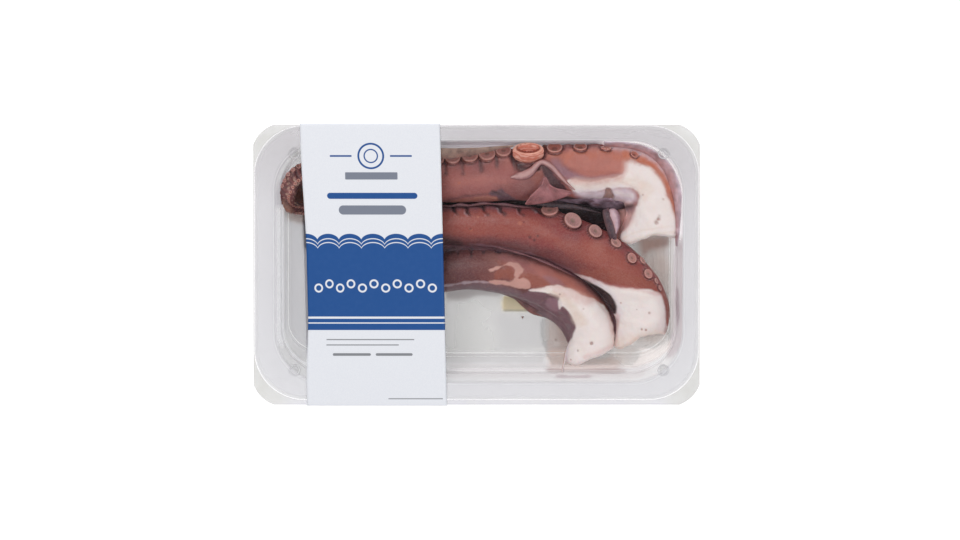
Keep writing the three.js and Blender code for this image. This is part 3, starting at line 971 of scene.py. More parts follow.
def build_film(settings):
    """The lid film, slack between the rims, with its loose edge past the tray's flange."""
    low, high = (np.array(corner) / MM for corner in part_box("lid_film"))
    half = tuple((high - low)[:2] / 2)
    flange_half, flange_radius = np.array(FLANGE["half"]), FLANGE["radius"]
    outline = outline_ring(half, FILM["radius"], (0, 0), cut=FILM["cut"])
    flange = outline_ring(flange_half + 0.15, flange_radius, FLANGE["middle"])
    rings = [(outline + (flange - outline) * share, 1.0) for share in (0, 0.05, 0.2, 0.4, 0.6, 0.8, 0.95)]
    rings.append((flange, 0.7))
    for inset in np.concatenate([[0.2, 0.9], np.arange(1.8, flange_half[1] - 0.5, 1.5)]):
        ring = outline_ring(tuple(flange_half - inset), max(flange_radius - inset, 0.3), FLANGE["middle"])
        rings.append((ring, 0.0))
    flat = np.vstack([ring for ring, _ in rings])
    count = len(outline)
    loose = np.repeat([value for _, value in rings], count)
    slack = smooth(inside_by(flat, ring_of(RIM)[::4]), 2, 18)
    level = np.column_stack([flat, np.zeros(len(flat))])
    wave = slack * noise(level * (1, 0.45, 1), 26, seed=3)
    z = (low[2] + high[2]) / 2 + (FILM["wave"] * wave - FILM["sag"] * slack) * settings.ripple / MM
    look = Look("Lid film")
    edge = look.attribute("edge")
    patch = look.between(look.noise(9, detail=3), 0.3, 0.75, 0, 0.6)
    cast = look.mix(patch, look.attribute("paint", "Color"), rgb(226, 225, 226))
    look.set(Base_Color=cast, Roughness=0.2, IOR=1.15)
    look.set(Alpha=look.between(edge, 0, 1, 0.005, 0.42))
    faces = tube_faces(len(rings), count, start=False)
    made = mesh_object("film_sheet", np.column_stack([flat, z]), faces, look.material)
    set_numbers(made, "edge", loose)
    tones = np.tile(plain(settings.film_cast), (len(flat), 1))
    blend(tones, settings.loose_film, loose)
    near_edge = smooth(-flat[:, 1], 66, 72) * smooth(np.abs(flat[:, 0]), 104, 94)
    blend(tones, rgb(222, 221, 230), loose * near_edge)
    set_colours(made, "paint", tones)
    thicken(made, settings.film)
    place(made, "film", "lid_film")


STICKER_CORNER = 0.8
STICKER_THICKNESS = 0.1


def build_sticker(settings):
    """A small sheet of paper with round corners under the floor."""
    low, high = (np.array(corner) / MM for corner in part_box("sticker"))
    half = (high - low)[:2] / 2 - STICKER_CORNER
    middle = (high + low)[:2] / 2
    ring = []
    for corner, (sx, sy) in enumerate(((1, 1), (-1, 1), (-1, -1), (1, -1))):
        for angle in (corner + np.arange(7) / 6) * math.pi / 2:
            bend = STICKER_CORNER * np.array((math.cos(angle), math.sin(angle)))
            ring.append((sx * half[0], sy * half[1]) + bend)
    rings = [middle + np.array(ring) * share for share in (1, 0.8, 0.5, 0.2)]
    flat = np.vstack(rings)
    lift = 0.03 * noise(np.column_stack([flat, flat[:, 0]]), 3, seed=2)
    faces = tube_faces(len(rings), len(ring), start=False)
    points = np.column_stack([flat, high[2] - 0.03 + lift])
    made = mesh_object("yellow_sticker", points, faces, sticker_material(settings.sticker))
    thicken(made, STICKER_THICKNESS * MM)
    place(made, "sticker_paper", "sticker")


# Pools of juice on the floor and the foot of the wall: an outline in the camera's view, how strong and how
# soft its edge is
JUICE_POOLS = [
    ([(636, 240), (662, 238), (668, 262), (668, 330), (658, 342), (640, 340), (640, 300)], 0.16, 7),
    ([(552, 346), (580, 352), (620, 350), (636, 352), (620, 366), (590, 368), (556, 367)], 0.08, 6),
    ([(550, 322), (580, 330), (574, 348), (550, 347)], 0.05, 6),
    ([(286, 206), (306, 210), (306, 219), (292, 218)], 0.15, 4),
]
JUICE = {"step": 0.8, "lift": 0.35, "thickness": 0.2, "from_depth": 14}


def surface_depth(flat):
    """How deep the tray's inner surface is under each point of a plan."""
    levels = np.array([0.9, 6, 11.6, 12.7, 17, 22, 26.4, 29.1, 30.0])
    inside = [inside_by(flat, ring_of(RIM, *wall_inset(level))[::3]) for level in levels]
    depth = np.zeros(len(flat))
    for level, after, here, beyond in zip(levels, levels[1:], inside, inside[1:]):
        share = np.clip(here / np.maximum(here - beyond, 1e-6), 0, 1)
        depth = np.where(here > 0, level + (after - level) * share, depth)
    return depth


def build_juice(settings):
    """A thin layer of juice on the floor and the foot of the wall, thickest round the cut ends."""
    xs = np.arange(-99, 101, JUICE["step"])
    ys = np.arange(-56, 56.5, JUICE["step"])
    grid_x, grid_y = np.meshgrid(xs, ys)
    flat = np.column_stack([grid_x.ravel(), grid_y.ravel()])
    bed = surface_depth(flat)
    points = np.column_stack([flat, FLANGE_TOP - bed + JUICE["lift"] - foot_sunk(flat)[0]])
    spots = in_view(points)
    ragged = rough(points, 12, seed=9)
    depth = np.zeros(len(points))
    for outline, strength, soft in JUICE_POOLS:
        inside = inside_by(spots, rounded(outline)) + 0.4 * soft * ragged
        depth = np.maximum(depth, strength * smooth(inside, -soft, soft))
    keep = (bed > JUICE["from_depth"]) & (depth > 0)
    faces = [face for face in grid_faces(len(ys), len(xs), closed=False) if all(keep[k] for k in face)]
    made = mesh_object("juice", points, faces, juice_material(settings.juice))
    set_numbers(made, "edge", depth * smooth(bed, JUICE["from_depth"], 20))
    drop_loose(made)
    thicken(made, JUICE["thickness"] * MM, offset=1)
    place(made, "film")


# --- Card sleeve ------------------------------------------------------------------------------------

SLEEVE = {
    "width": 72.1, "x": -53.1, "skew": -0.0238, "base_half": 56.0, "lip_drop": 1.1, "card": 0.4,
    "pinch": 1.7, "bow": 0.096, "bow_reach": 75, "drop": 0.1, "fold": 0.5, "spacing": 1.5, "steps": 60,
}


def sleeve_section():
    """The middle line of the card's cross-section, as (y, z), with round folds."""
    high = np.array(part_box("card_sleeve")[1]) / MM
    half_card = SLEEVE["card"] / 2
    side = high[1] - half_card
    top = high[2] - half_card
    base = SLEEVE["base_half"] + half_card
    corners = [
        (-side, top), (-side, FLANGE_TOP - SLEEVE["lip_drop"]),
        (-base, half_card + 0.4), (-base + 0.8, half_card),
    ]
    corners = np.array(corners + [(-y, z) for y, z in reversed(corners)])
    made = []
    for k, here in enumerate(corners):
        before, after = corners[k - 1], corners[(k + 1) % len(corners)]
        made += fillet(before, here, after, SLEEVE["fold"], 0.4, 5)
        end = made[-1]
        far = after - (end - here)
        stops = int(np.linalg.norm(far - end) / SLEEVE["spacing"])
        made += [end + (far - end) * j / stops for j in range(1, stops)]
    return np.array(made)


# The print, in millimetres from the middle of the front panel. A bar is (x, y, half length, half height,
# radius of its corners), and a ring is (x, y, radius, thickness).
SCALLOP = {"level": 12.2, "pitch": 12.0, "depth": 4.2, "roundness": 1.9, "lines": [(2.6, 0.5), (4.6, 0.5)]}
FIELD_FOOT = -34.0
FIELD_BARS = [(0, -27.5, 37, 0.55), (0, -30.3, 37, 0.3)]
FIELD_RINGS = [(x, -12.0 + 2.2 * (k % 2), 1.9, 0.9) for k, x in enumerate(range(-30, 31, 6))]
RINGS = [(0, 57.0, 6.4, 1.0), (0, 57.0, 3.4, 0.7)]
BLUE_BARS = [(-15.5, 57.0, 5.6, 0.45), (15.5, 57.0, 5.6, 0.45), (0, 36.2, 23.5, 1.6, 1.6)]
GREY_BARS = [(0, 46.6, 13.5, 1.9, 0.4), (0, 28.8, 17.5, 2.4, 2.4)]
FINE_BARS = [
    (-3, -39.0, 23, 0.28), (-7, -41.8, 19, 0.28), (-12.5, -46.8, 10, 0.7, 0.7),
    (9.5, -46.8, 9.5, 0.7, 0.7), (20, -70.0, 14, 0.25),
]
FINE_STRENGTH = 0.75
# How soft the edges of the print are
PRINT_EDGE = 0.12


def card_material(settings):
    """White card with a printed field of blue under a scalloped edge, plain bars and rings. The print is
    drawn in the card's own coordinates, in millimetres from the middle of the front panel."""
    look = Look("Printed card")
    across, up = look.uv()

    def within(distance):
        return look.between(distance, PRINT_EDGE, -PRINT_EDGE)

    def past(distance):
        return look.between(distance, -PRINT_EDGE, PRINT_EDGE)

    def away_from(axis, middle):
        return look.math("ABSOLUTE", look.math("SUBTRACT", axis, middle))

    def span(x, y):
        squares = [look.math("POWER", side, 2.0) for side in (x, y)]
        return look.math("SQRT", look.math("ADD", *squares))

    def bar(x, y, half_x, half_y, radius=0.0):
        """1 inside an upright bar with round corners."""
        dx = look.math("SUBTRACT", away_from(across, x), half_x - radius)
        dy = look.math("SUBTRACT", away_from(up, y), half_y - radius)
        if not radius:
            return within(look.math("MAXIMUM", dx, dy))
        reach = span(look.math("MAXIMUM", dx, 0.0), look.math("MAXIMUM", dy, 0.0))
        return within(look.math("SUBTRACT", reach, radius))

    def ring(x, y, radius, thickness):
        """1 on a ring."""
        reach = span(look.math("SUBTRACT", across, x), look.math("SUBTRACT", up, y))
        return within(look.math("SUBTRACT", away_from(reach, radius), thickness / 2))

    def scallops(level, pitch, depth, roundness):
        """How far a point lies below a row of arcs."""
        phase = look.math("MULTIPLY", look.math("PINGPONG", across, pitch / 2), roundness / pitch)
        rise = look.math("SQRT", look.math("SUBTRACT", 1.0, look.math("POWER", phase, 2.0)))
        return look.math("SUBTRACT", look.math("ADD", level, look.math("MULTIPLY", rise, depth)), up)

    panel = look.attribute("front")
    fibre = look.between(look.noise(0.5, detail=4), 0.3, 0.7)
    sheet = look.mix(look.math("MULTIPLY", fibre, 0.25), plain(settings.card), rgb(222, 226, 238))
    rub = look.between(look.noise(3, detail=4), 0.35, 0.75, 0, 0.03)
    ink = look.mix(rub, plain(settings.ink), rgb(90, 132, 188))
    top_edge = scallops(*(SCALLOP[name] for name in ("level", "pitch", "depth", "roundness")))
    field = past(top_edge)
    field = look.math("MULTIPLY", field, past(look.math("SUBTRACT", up, FIELD_FOOT)))
    printed = look.mix(look.math("MULTIPLY", field, panel), sheet, ink)
    for gap, width in SCALLOP["lines"]:
        line = look.math("SUBTRACT", away_from(top_edge, gap), width / 2)
        line = look.math("MULTIPLY", within(line), field)
        printed = look.mix(look.math("MULTIPLY", line, panel), printed, sheet)
    layers = [
        (bar, FIELD_BARS, sheet, 1.0), (ring, RINGS, ink, 1.0), (bar, BLUE_BARS, ink, 1.0),
        (bar, GREY_BARS, plain(settings.grey_ink), 1.0),
        (bar, FINE_BARS, plain(settings.black_ink), FINE_STRENGTH),
        (ring, FIELD_RINGS, sheet, 1.0),
    ]
    for draw, shapes, tone, strength in layers:
        for shape in shapes:
            mask = look.math("MULTIPLY", look.math("MULTIPLY", draw(*shape), panel), strength)
            printed = look.mix(mask, printed, tone)
    look.set(Base_Color=printed, Roughness=look.between(fibre, 0, 1, 0.42, 0.5), IOR=1.45)
    look.set(Coat_Weight=0.12, Coat_Roughness=0.25)
    look.bump(look.noise(0.35, detail=4), 0.02)
    look.bump(look.noise(18, detail=3), 0.5, 0.5)
    return look.material


def build_sleeve(settings):
    """The closed band of card, a little narrower across its middle on the left."""
    section = sleeve_section()
    steps = SLEEVE["steps"]
    shares = np.linspace(-0.5, 0.5, steps)
    y, z = section[:, 0], section[:, 1]
    front = smooth(z, FLANGE_TOP - 0.5, FLANGE_TOP)
    waist = SLEEVE["pinch"] * smooth(y, 66, 6) * smooth(y, -64, -24) * front
    rings = []
    for share in shares:
        bow = SLEEVE["bow"] * math.cos(share * math.pi) * front * (1 - (y / SLEEVE["bow_reach"]) ** 2)
        x = SLEEVE["x"] + SLEEVE["width"] * share + SLEEVE["skew"] * y + waist * smooth(-share, 0.1, 0.5)
        rings.append(np.column_stack([x, y, z - SLEEVE["drop"] + bow]))
    points = np.vstack(rings)
    points[:, 2] = np.maximum(points[:, 2], SLEEVE["card"] / 2)
    made = mesh_object("sleeve_card", points, grid_faces(steps, len(section)), card_material(settings))
    set_numbers(made, "front", np.tile(front, steps))
    across = np.repeat(shares * SLEEVE["width"], len(section))
    set_uv(made, np.column_stack([across, np.tile(y, steps)]))
    turn_sheet(made, ring=True)
    thicken(made, SLEEVE["card"] * MM, offset=0)
    place(made, "card", "card_sleeve")


# --- Arms -------------------------------------------------------------------------------------------

# Each station, from the cut end to the tip: where the middle lies (x, y), half the width, and the lift
ARM_TOP = [
    (90.0, 11.5, 13.6, 0.6), (91.2, 27.0, 14.0, 0.6), (84.5, 40.3, 13.6, 0.6), (69.0, 44.6, 13.2, 0.3),
    (48.6, 44.3, 13.0, 0.3), (27.8, 43.2, 12.8, 0.3), (7.0, 42.6, 12.5, 0.3), (-13.8, 41.6, 12.1, 0.3),
    (-34.6, 41.6, 10.8, 0.6), (-55.4, 43.3, 8.8, 1.6), (-73.7, 46.2, 6.4, 5.5), (-86.2, 46.6, 4.5, 11.0),
    (-93.4, 42.6, 3.5, 15.0), (-96.3, 35.4, 3.0, 16.0), (-95.9, 28.2, 2.8, 12.5), (-92.0, 24.3, 2.5, 8.0),
    (-85.4, 23.4, 2.1, 3.5), (-78.6, 25.2, 1.2, 0.6),
]
ARM_MIDDLE = [
    (84.0, -41.5, 12.6, 0.3), (85.6, -29.3, 14.0, 0.3), (80.6, -16.6, 14.6, 0.3), (67.9, -2.9, 14.1, 0.3),
    (50.3, 7.4, 13.2, 0.3), (30.4, 14.0, 12.3, 0.3), (9.6, 17.2, 11.4, 0.3), (-13.8, 17.2, 10.4, 0.3),
    (-37.2, 14.8, 8.7, 0.3), (-58.0, 10.1, 6.6, 0.3), (-73.6, 2.9, 4.7, 0.3), (-82.0, -6.8, 3.4, 0.3),
    (-82.0, -17.9, 2.6, 0.3), (-75.7, -25.3, 1.9, 0.3), (-67.9, -27.4, 1.1, 0.3),
]
ARM_BOTTOM = [
    (59.2, -49.0, 11.0, 0.3), (59.8, -38.2, 11.8, 0.3), (53.4, -26.2, 11.9, 0.3), (39.2, -16.0, 11.5, 0.3),
    (21.0, -8.8, 11.1, 0.3), (1.8, -6.0, 10.8, 0.3), (-16.4, -7.4, 10.4, 0.3), (-37.2, -13.5, 8.9, 0.3),
    (-55.4, -22.2, 6.8, 0.3), (-67.6, -31.4, 4.9, 0.3), (-71.4, -39.4, 3.5, 0.3), (-66.4, -45.0, 2.6, 0.3),
    (-58.8, -45.0, 1.9, 0.3), (-51.6, -42.0, 1.1, 0.3),
]
SQUASH = 0.88
# Between these places along X the sleeve hides the arms, and their rings lie further apart
HIDDEN = (-88.0, -20.0)
CUT_FADE = 16.0
CUT_LIP = 2.4
CUT_DOME = 1.4
TIP_LENGTH = 1.2
AROUND = 120
# How much the points crowd towards the upper side of an arm
CROWD = 0.4
# Angles round an arm, from its sucker side upwards: where its upper row sits, how far the folds between
# suckers reach, and where its lower row sits
BED = (math.radians(34), math.radians(72))
LOW_ROW = math.radians(316)
# The two rows that show on the curl of the upper arm
CURL_ROWS = (math.radians(46), math.radians(84))
LEAST_SUCKER = 0.5
# How far apart the suckers of a row sit, in their own widths, and their radius as a share of the arm's
UPPER_SEATS = (1.04, 0.34)
LOWER_SEATS = (1.2, 0.3)
# The least room between food and floor, food and film, and one arm and the next
FLOOR_ROOM = 0.25
FILM_ROOM = 0.3
ARM_ROOM = 0.25
TO_VIEW = np.array((0.0, math.sin(CAMERA_LEAN), math.cos(CAMERA_LEAN)))
UP_VIEW = np.array((0.0, math.cos(CAMERA_LEAN), -math.sin(CAMERA_LEAN)))

# Where the unseen part of each arm's upper row begins, along the arm
TOP_ROW_START = 150.0
MIDDLE_ROW_START = 150.0
BOTTOM_ROW_START = 107.0

# Marks on the arms, in points of the camera's view
TOP_FLESH = [
    (567, 181), (572, 179.5), (590, 182), (607, 179), (620, 176), (624.6, 170), (624.4, 163.5),
    (630, 162), (640, 164.5), (650, 168), (657, 174), (662, 182), (665, 190), (669, 200), (674, 214),
    (678, 226), (676, 236), (664, 240), (652, 242), (640, 248), (628, 254), (612, 254), (614, 242),
    (620, 234), (628, 226), (632, 216), (636, 207), (639, 201), (638, 193), (630, 187.5), (612, 188.5),
    (598, 190.5), (584, 193), (576, 192.5), (570, 188),
]
TOP_LILAC = [
    (574, 191), (590, 190.5), (604, 190), (616, 187.5), (626, 188), (635, 192), (637, 198), (632, 204),
    (620, 206), (604, 206), (588, 202), (578, 196),
]
TOP_NOTCH = [
    (606, 188), (609.5, 188.2), (613, 193), (614.5, 196.5), (612.5, 200), (613, 207), (604, 207),
    (603, 198), (605, 193),
]
TOP_HOLLOW = [(606, 206), (634, 205), (633, 216), (628, 226), (620, 234), (612, 240), (606, 226)]
TOP_UNDERSIDE = [
    (549, 171), (557, 164), (573, 172), (588, 178), (606, 176), (622, 174), (606, 180.5), (586, 183),
    (569, 180), (557, 175),
]
TOP_PINK = [
    (560, 158), (572, 149), (600, 147), (622, 150), (628, 160), (624, 173), (604, 176), (584, 174),
    (568, 167),
]
TOP_DARK_WEB = [
    (542, 165), (547, 166), (554, 173), (561, 181), (566, 189), (561, 192), (553, 189), (548, 180),
    (544, 173),
]
TOP_SHADE = [
    (494, 189), (506, 185), (520, 181), (532, 176), (541, 173), (542, 178), (534, 188), (526, 199),
    (518, 201), (502, 199),
]
TOP_STRANDS = [
    (490, 192), (499, 190.5), (506, 193), (513, 198), (521, 201.5), (527, 206), (515, 207), (504, 203),
    (496, 198),
]
TOP_FOLD = [(515, 160), (525, 166), (538, 166), (541, 170), (530, 172), (518, 172)]
TOP_FLAP = [
    (545, 176), (549, 187), (556, 193), (568, 193), (560, 200), (540, 204), (526, 204.5), (534, 194),
]
TOP_RIM_SKIN = [
    (622, 148), (640, 152), (655, 158), (670, 170), (680, 188), (684, 206), (684, 226), (677, 226),
    (672, 208), (665, 190), (657, 174), (646, 166.5), (626, 160),
]
TOP_GAP = [
    (500, 206.5), (530, 204.5), (552, 201), (566, 196), (580, 199.5), (604, 205), (613, 208), (612, 230),
    (600, 240), (580, 222), (540, 212),
]
TOP_CREASES = [
    [(444, 158), (446, 173)],
    [(461.5, 157), (463.5, 173)],
    [(478.5, 155), (481, 171)],
    [(495.5, 152), (497.5, 168)],
    [(511, 156), (515, 169)],
    [(533, 166), (548, 164)],
]
TOP_RIDGE = [
    (510.5, 177.5), (517, 176.4), (525, 175), (532, 170.8), (537, 165), (542, 162), (548, 164.2),
    (554, 169.5), (561, 177), (568, 184.5), (575, 190),
]
CURL = [(276, 165), (308, 165), (308, 222), (276, 222)]
TOP_ROLL = [(605.8, 209), (608, 216), (610.4, 225), (612.6, 234), (614, 240.5)]
TOP_ROLL_EDGE = [(609.5, 209.5), (613, 213.5), (615.6, 220), (616.6, 227), (616.2, 234)]
TOP_HOLLOWS = [
    (TOP_HOLLOW, 3.6, 5.0),
    (TOP_NOTCH, 2.0, 1.6),
    (TOP_DARK_WEB, 1.0, 3.0),
    (TOP_FOLD, 1.6, 2.5),
    ([(511, 142), (546, 142), (546, 156), (538, 163), (518, 163), (510, 156)], 5.0, 2.5),
    ([(596, 205), (612, 206), (616, 230), (614, 250), (600, 240), (590, 215)], 7.0, 3.0),
    ([(560, 165), (580, 170), (610, 171), (622, 174), (606, 180), (586, 183), (569, 180)], 1.2, 5.0),
]
MIDDLE_FLESH = [
    (571, 274), (590, 278), (601, 283), (621, 287.5), (640, 289), (657, 292), (663, 298), (665.5, 308),
    (665.5, 320), (669, 329), (670, 342), (640, 345), (629, 352), (612, 356), (612, 340), (613, 320),
    (612, 308), (600, 294), (584, 283),
]
MIDDLE_LILAC = [
    (571, 274), (590, 278.5), (606, 285), (614, 294), (620, 306), (622, 318), (616, 322), (612, 306),
    (598, 292), (582, 281),
]
MIDDLE_GAP = [
    (582, 279), (593, 284), (603, 289.5), (611, 296), (616.5, 306), (616, 314), (610, 313), (603, 306),
    (594, 297), (584, 287),
]
MIDDLE_RUST = [(600, 268), (640, 277), (662, 286), (662, 293), (636, 289), (606, 283), (580, 275)]
MIDDLE_CREASES = [
    [(449, 204), (453, 207), (454, 211), (458, 214)], [(463, 204), (467, 207.5), (467, 212), (470, 215)],
    [(478, 203), (483, 206), (484.5, 211), (488, 214.5)],
    [(494.5, 203), (500, 206), (501, 211), (504, 214)],
    [(513, 203), (519, 207), (520, 212), (524, 215.5)], [(530, 204), (534, 208), (539, 211)],
]
MIDDLE_HOLLOWS = [
    (MIDDLE_GAP, 3.5, 2.5),
    ([(622, 296), (650, 298), (660, 318), (640, 326), (622, 318)], 1.2, 9.0),
]
BOTTOM_FLESH = [
    (529, 290.5), (541, 288), (556, 285.5), (568, 288.5), (583, 295), (596, 300), (605, 307),
    (611.5, 320), (615, 334), (617, 348), (603, 358), (590, 364), (581, 371), (572, 374), (561, 371),
    (562, 356), (567, 346), (573, 336), (575.5, 325), (572, 316), (567, 309.5), (562, 306.5),
    (559.5, 309), (558.3, 302), (559, 296.5), (552, 293.5), (541, 292),
]
BOTTOM_WEB = [
    (528, 291), (541, 291), (553, 292.5), (561, 296), (563, 305), (568, 308), (574, 316), (578, 326),
    (576, 338), (569, 348), (558, 350), (556, 334), (546, 324), (530, 316), (512, 304),
]
BOTTOM_LILAC = [(548, 298), (557, 299), (561, 304), (560, 311), (552, 311), (546, 305)]
BOTTOM_SLATE = [
    (436, 290), (466, 284), (490, 283), (510, 288), (528, 296), (544, 306), (560, 322), (556, 328),
    (530, 320), (510, 310), (490, 300), (466, 300), (436, 310),
]
BOTTOM_SALMON = [
    (488, 269.5), (497, 267), (504, 264), (508.5, 261.5), (514, 262), (520, 264.5), (523.5, 269.5),
    (521, 274), (517, 277.5), (514.3, 275), (515.5, 270.5), (512.5, 267), (505, 266.3), (497, 269.3),
    (490, 270.8),
]
BOTTOM_SALMON_LOW = [
    (489, 281.2), (500, 280), (512, 281), (515.5, 277.5), (519, 279.2), (524, 278.3), (529.5, 282),
    (530.5, 287), (525, 289.2), (513, 286.6), (501, 284.4), (491, 282.6),
]
BOTTOM_RUST = [(497, 271), (509, 268), (514, 272), (515, 279), (506, 278.5), (494, 279)]
BOTTOM_RUST_RIGHT = [(520, 275), (530, 274), (545, 280), (550, 284), (532, 288), (531, 281)]
BOTTOM_CREASES = [
    [(457, 244), (458, 255)],
    [(470.5, 245), (471.5, 256)],
    [(483, 246), (483.5, 253)],
    [(496, 249), (500, 253)],
]
BOTTOM_HOLLOWS = [
    ([(548, 296), (560, 299), (560, 312), (550, 312), (540, 304)], 1.4, 3.0),
    ([(556, 312), (566, 314), (573, 322), (574, 334), (566, 344), (560, 330)], 2.0, 4.0),
]
PALE_SPOTS = [(471, 230, 1.6), (520, 223, 2.2), (459, 183, 1.5), (566, 162, 1.4), (478, 217, 1.3)]
DARK_SPOTS = [(530, 237, 1.7), (538, 236, 1.6), (534.5, 240, 1.4), (470.5, 229, 1.3), (524, 222, 1.0)]
TOP_PORES = [(658.5, 219, 1.5), (656.5, 223, 1.8), (663.4, 199, 0.9), (643, 195, 0.9)]
MIDDLE_PORES = [(621, 303, 1.0), (649.5, 313, 1.2), (642, 329.5, 1.2), (646, 330, 1.2), (637, 309.5, 0.6)]
BOTTOM_PORES = [(591.7, 343.5, 1.8), (578, 351, 1.1), (571, 360, 0.9), (583.5, 309, 0.8), (560, 294.5, 0.8)]

# Suckers that show: place in the view, radius in millimetres, warmth of colour, how round the disc looks,
# and the angle of the view that it leans towards
TOP_SUCKERS = [
    (436.5, 158.4, 4.1, 0.6, 0.74, 90), (452.6, 157.4, 4.1, 0.6, 0.74, 90),
    (469.8, 155.6, 4.3, 0.6, 0.72, 90), (487.0, 154.0, 4.4, 0.6, 0.72, 90),
    (503.4, 150.6, 4.0, 0.6, 0.72, 88), (554.6, 147.8, 4.0, 0.85, 0.6, 90),
    (580.3, 146.8, 3.5, 0.8, 0.5, 88), (606, 148.2, 2.8, 0.78, 0.25, 85),
    (634.5, 154.5, 2.2, 0.8, 0.6, 60),
]
MIDDLE_SUCKERS = [
    (549.9, 210, 4.4, 0.3, 0.62, 95), (572.9, 220.5, 4.7, 0.0, 0.74, 55), (595.4, 231, 3.7, 0.0, 0.74, 48),
    (616.0, 242.5, 3.0, 0.1, 0.6, 50), (632, 258, 2.8, 0.35, 0.74, 28), (642.8, 260.5, 2.2, 0.35, 0.34, 35),
    (648.4, 273.8, 2.6, 0.35, 0.7, 30), (656.3, 281, 1.6, 0.35, 0.4, 25), (660, 288, 1.5, 0.35, 0.4, 20),
]
# How far the upper arm's shoulder spreads towards the wall, by the view's x
TOP_SPREAD = [
    (430, 4.0), (500, 4.6), (514, 8.0), (600, 8.0), (636, 7.5), (655, 6.5), (668, 4.0), (680, 1.5),
]
# How far the cut ends reach down the view past the plain ring, as (x, points further down)
TOP_END = [(614, 1), (624, 4), (632, 1.5), (642, -3.5), (652, -5.5), (665, -5), (675, -3)]
MIDDLE_END = [(614, 9), (622, 4), (632, -2), (640, -6), (650, -5.5), (660, -2.5), (668, 2)]
BOTTOM_END = [(564, 6), (572, 6.5), (580, 6), (590, 2), (602, 2), (612, 2.5)]
RIDGE_TONES = (rgb(150, 104, 108), rgb(198, 158, 156), rgb(172, 122, 122))
ROLL_TONES = (rgb(92, 72, 80), rgb(60, 50, 64), rgb(112, 86, 94))
ROLL_EDGE_TONES = (rgb(200, 156, 158), rgb(214, 186, 196), rgb(150, 118, 132))
HOLLOW_WEB = (
    [(607, 206), (615, 206), (624, 207), (636, 206)],
    [(611, 246), (615, 247), (619, 246.5), (628, 240)],
)
LILAC_WEB = (
    [(552, 196.5), (584, 197), (600, 197.5), (614, 198.5), (632, 202.5)],
    [(552, 201), (584, 205), (600, 209), (612, 210.5), (631, 205.5)],
)
RIM_WEB = (
    [
        (604, 142.5), (624, 143), (642, 146), (656, 152.5), (669, 164), (677.5, 180), (681.5, 198),
        (682, 214), (680.5, 230), (677, 246),
    ],
    [
        (604, 146.5), (624, 148), (640, 151.5), (652, 158), (663, 170), (670, 186), (674, 203),
        (675.5, 218), (675.4, 232), (675.6, 246),
    ],
)
RIM_HEIGHTS = [29.4, 29.4, 29.4, 29.4, 29.4, 29.4, 29.2, 28, 26, 22]
INNER_HEIGHTS = [25, 24.8, 24.8, 25.2, 25.6, 25.8, 26, 25.8, 24.5, 21.6]
FLAP_WEB = (
    [
        (525.5, 204.5), (531, 196), (537.5, 189.5), (542, 184.5), (544.8, 177), (548.4, 184),
        (554.5, 188), (563, 190), (571, 192.4),
    ],
    [
        (528.5, 205), (535, 204.4), (541.5, 203.6), (547.5, 202.6), (553, 201.2), (558, 199.6),
        (563, 197.8), (568, 195.6), (572, 193.6),
    ],
)
FLAP_HEIGHTS = [24.5, 26.2, 27.3, 27.8, 28, 27.6, 27, 26.2, 25.2]
CURL_SKIRT = (
    [(281.6, 195), (282, 202), (284.5, 208.5), (291, 213)],
    [(286, 195), (287, 201), (290, 205), (295, 209)],
)
CURL_WEB = ([(292, 176), (290, 190), (293, 204)], [(314, 176), (314, 190), (314, 204)])
WEB_TOP = (
    [(440, 196), (480, 195), (520, 195), (552, 190), (580, 188), (602, 189), (618, 191), (634, 196)],
    [(440, 216), (480, 214), (520, 213), (552, 217), (578, 230), (596, 242), (612, 249), (622, 250)],
)
WALL_WEB = (
    [(434, 148.2), (460, 148.5), (490, 147), (514, 145.2)],
    [
        (434, 159.5), (452, 158.6), (464, 157), (472, 155.8), (481, 153.6), (489, 152), (498, 149.6),
        (513, 147),
    ],
)
WEB_STRANDS = [(528, 203.6), (552, 204.6), (576, 207), (602, 213)]
WEB_FOLD = [
    (440, 205), (450, 206.2), (460, 204.6), (470, 205.6), (482, 203.4), (494, 204), (506, 204.6),
    (518, 206.6), (532, 207.4),
]
WEB_EDGE = [(490, 244.5), (502, 248.5), (514, 251.5), (533, 257.5), (556, 267), (576, 277)]
WEB_MIDDLE = (
    [(440, 236), (480, 239), (515, 243), (545, 252), (576, 268), (600, 283), (614, 300), (622, 330)],
    [(440, 254), (480, 254), (512, 258), (540, 269), (568, 286), (592, 303), (604, 316), (608, 340)],
)
WEB_FRINGE = (
    [(482, 285), (502, 288), (522, 295), (540, 303), (556, 314), (568, 328), (572, 341)],
    [
        (482, 290.5), (499, 293.5), (512, 298), (525, 305.5), (540, 315), (553, 322), (562, 331),
        (568.5, 344),
    ],
)
WEB_SCRAP = (
    [(512, 296), (523, 302), (534, 308), (548, 315)],
    [(515, 299.5), (523.5, 307.5), (532, 314), (547, 318)],
)
WET_STRAND = [(566.5, 350), (565.4, 356), (564.6, 362), (563.2, 367), (562.6, 372)]
SCRAPS = [
    (522.7, 317.3, 1.1), (534, 313, 1.6), (531, 311.5, 1.4), (600, 366, 0.6), (556, 340, 0.7),
    (470, 318, 0.5),
]


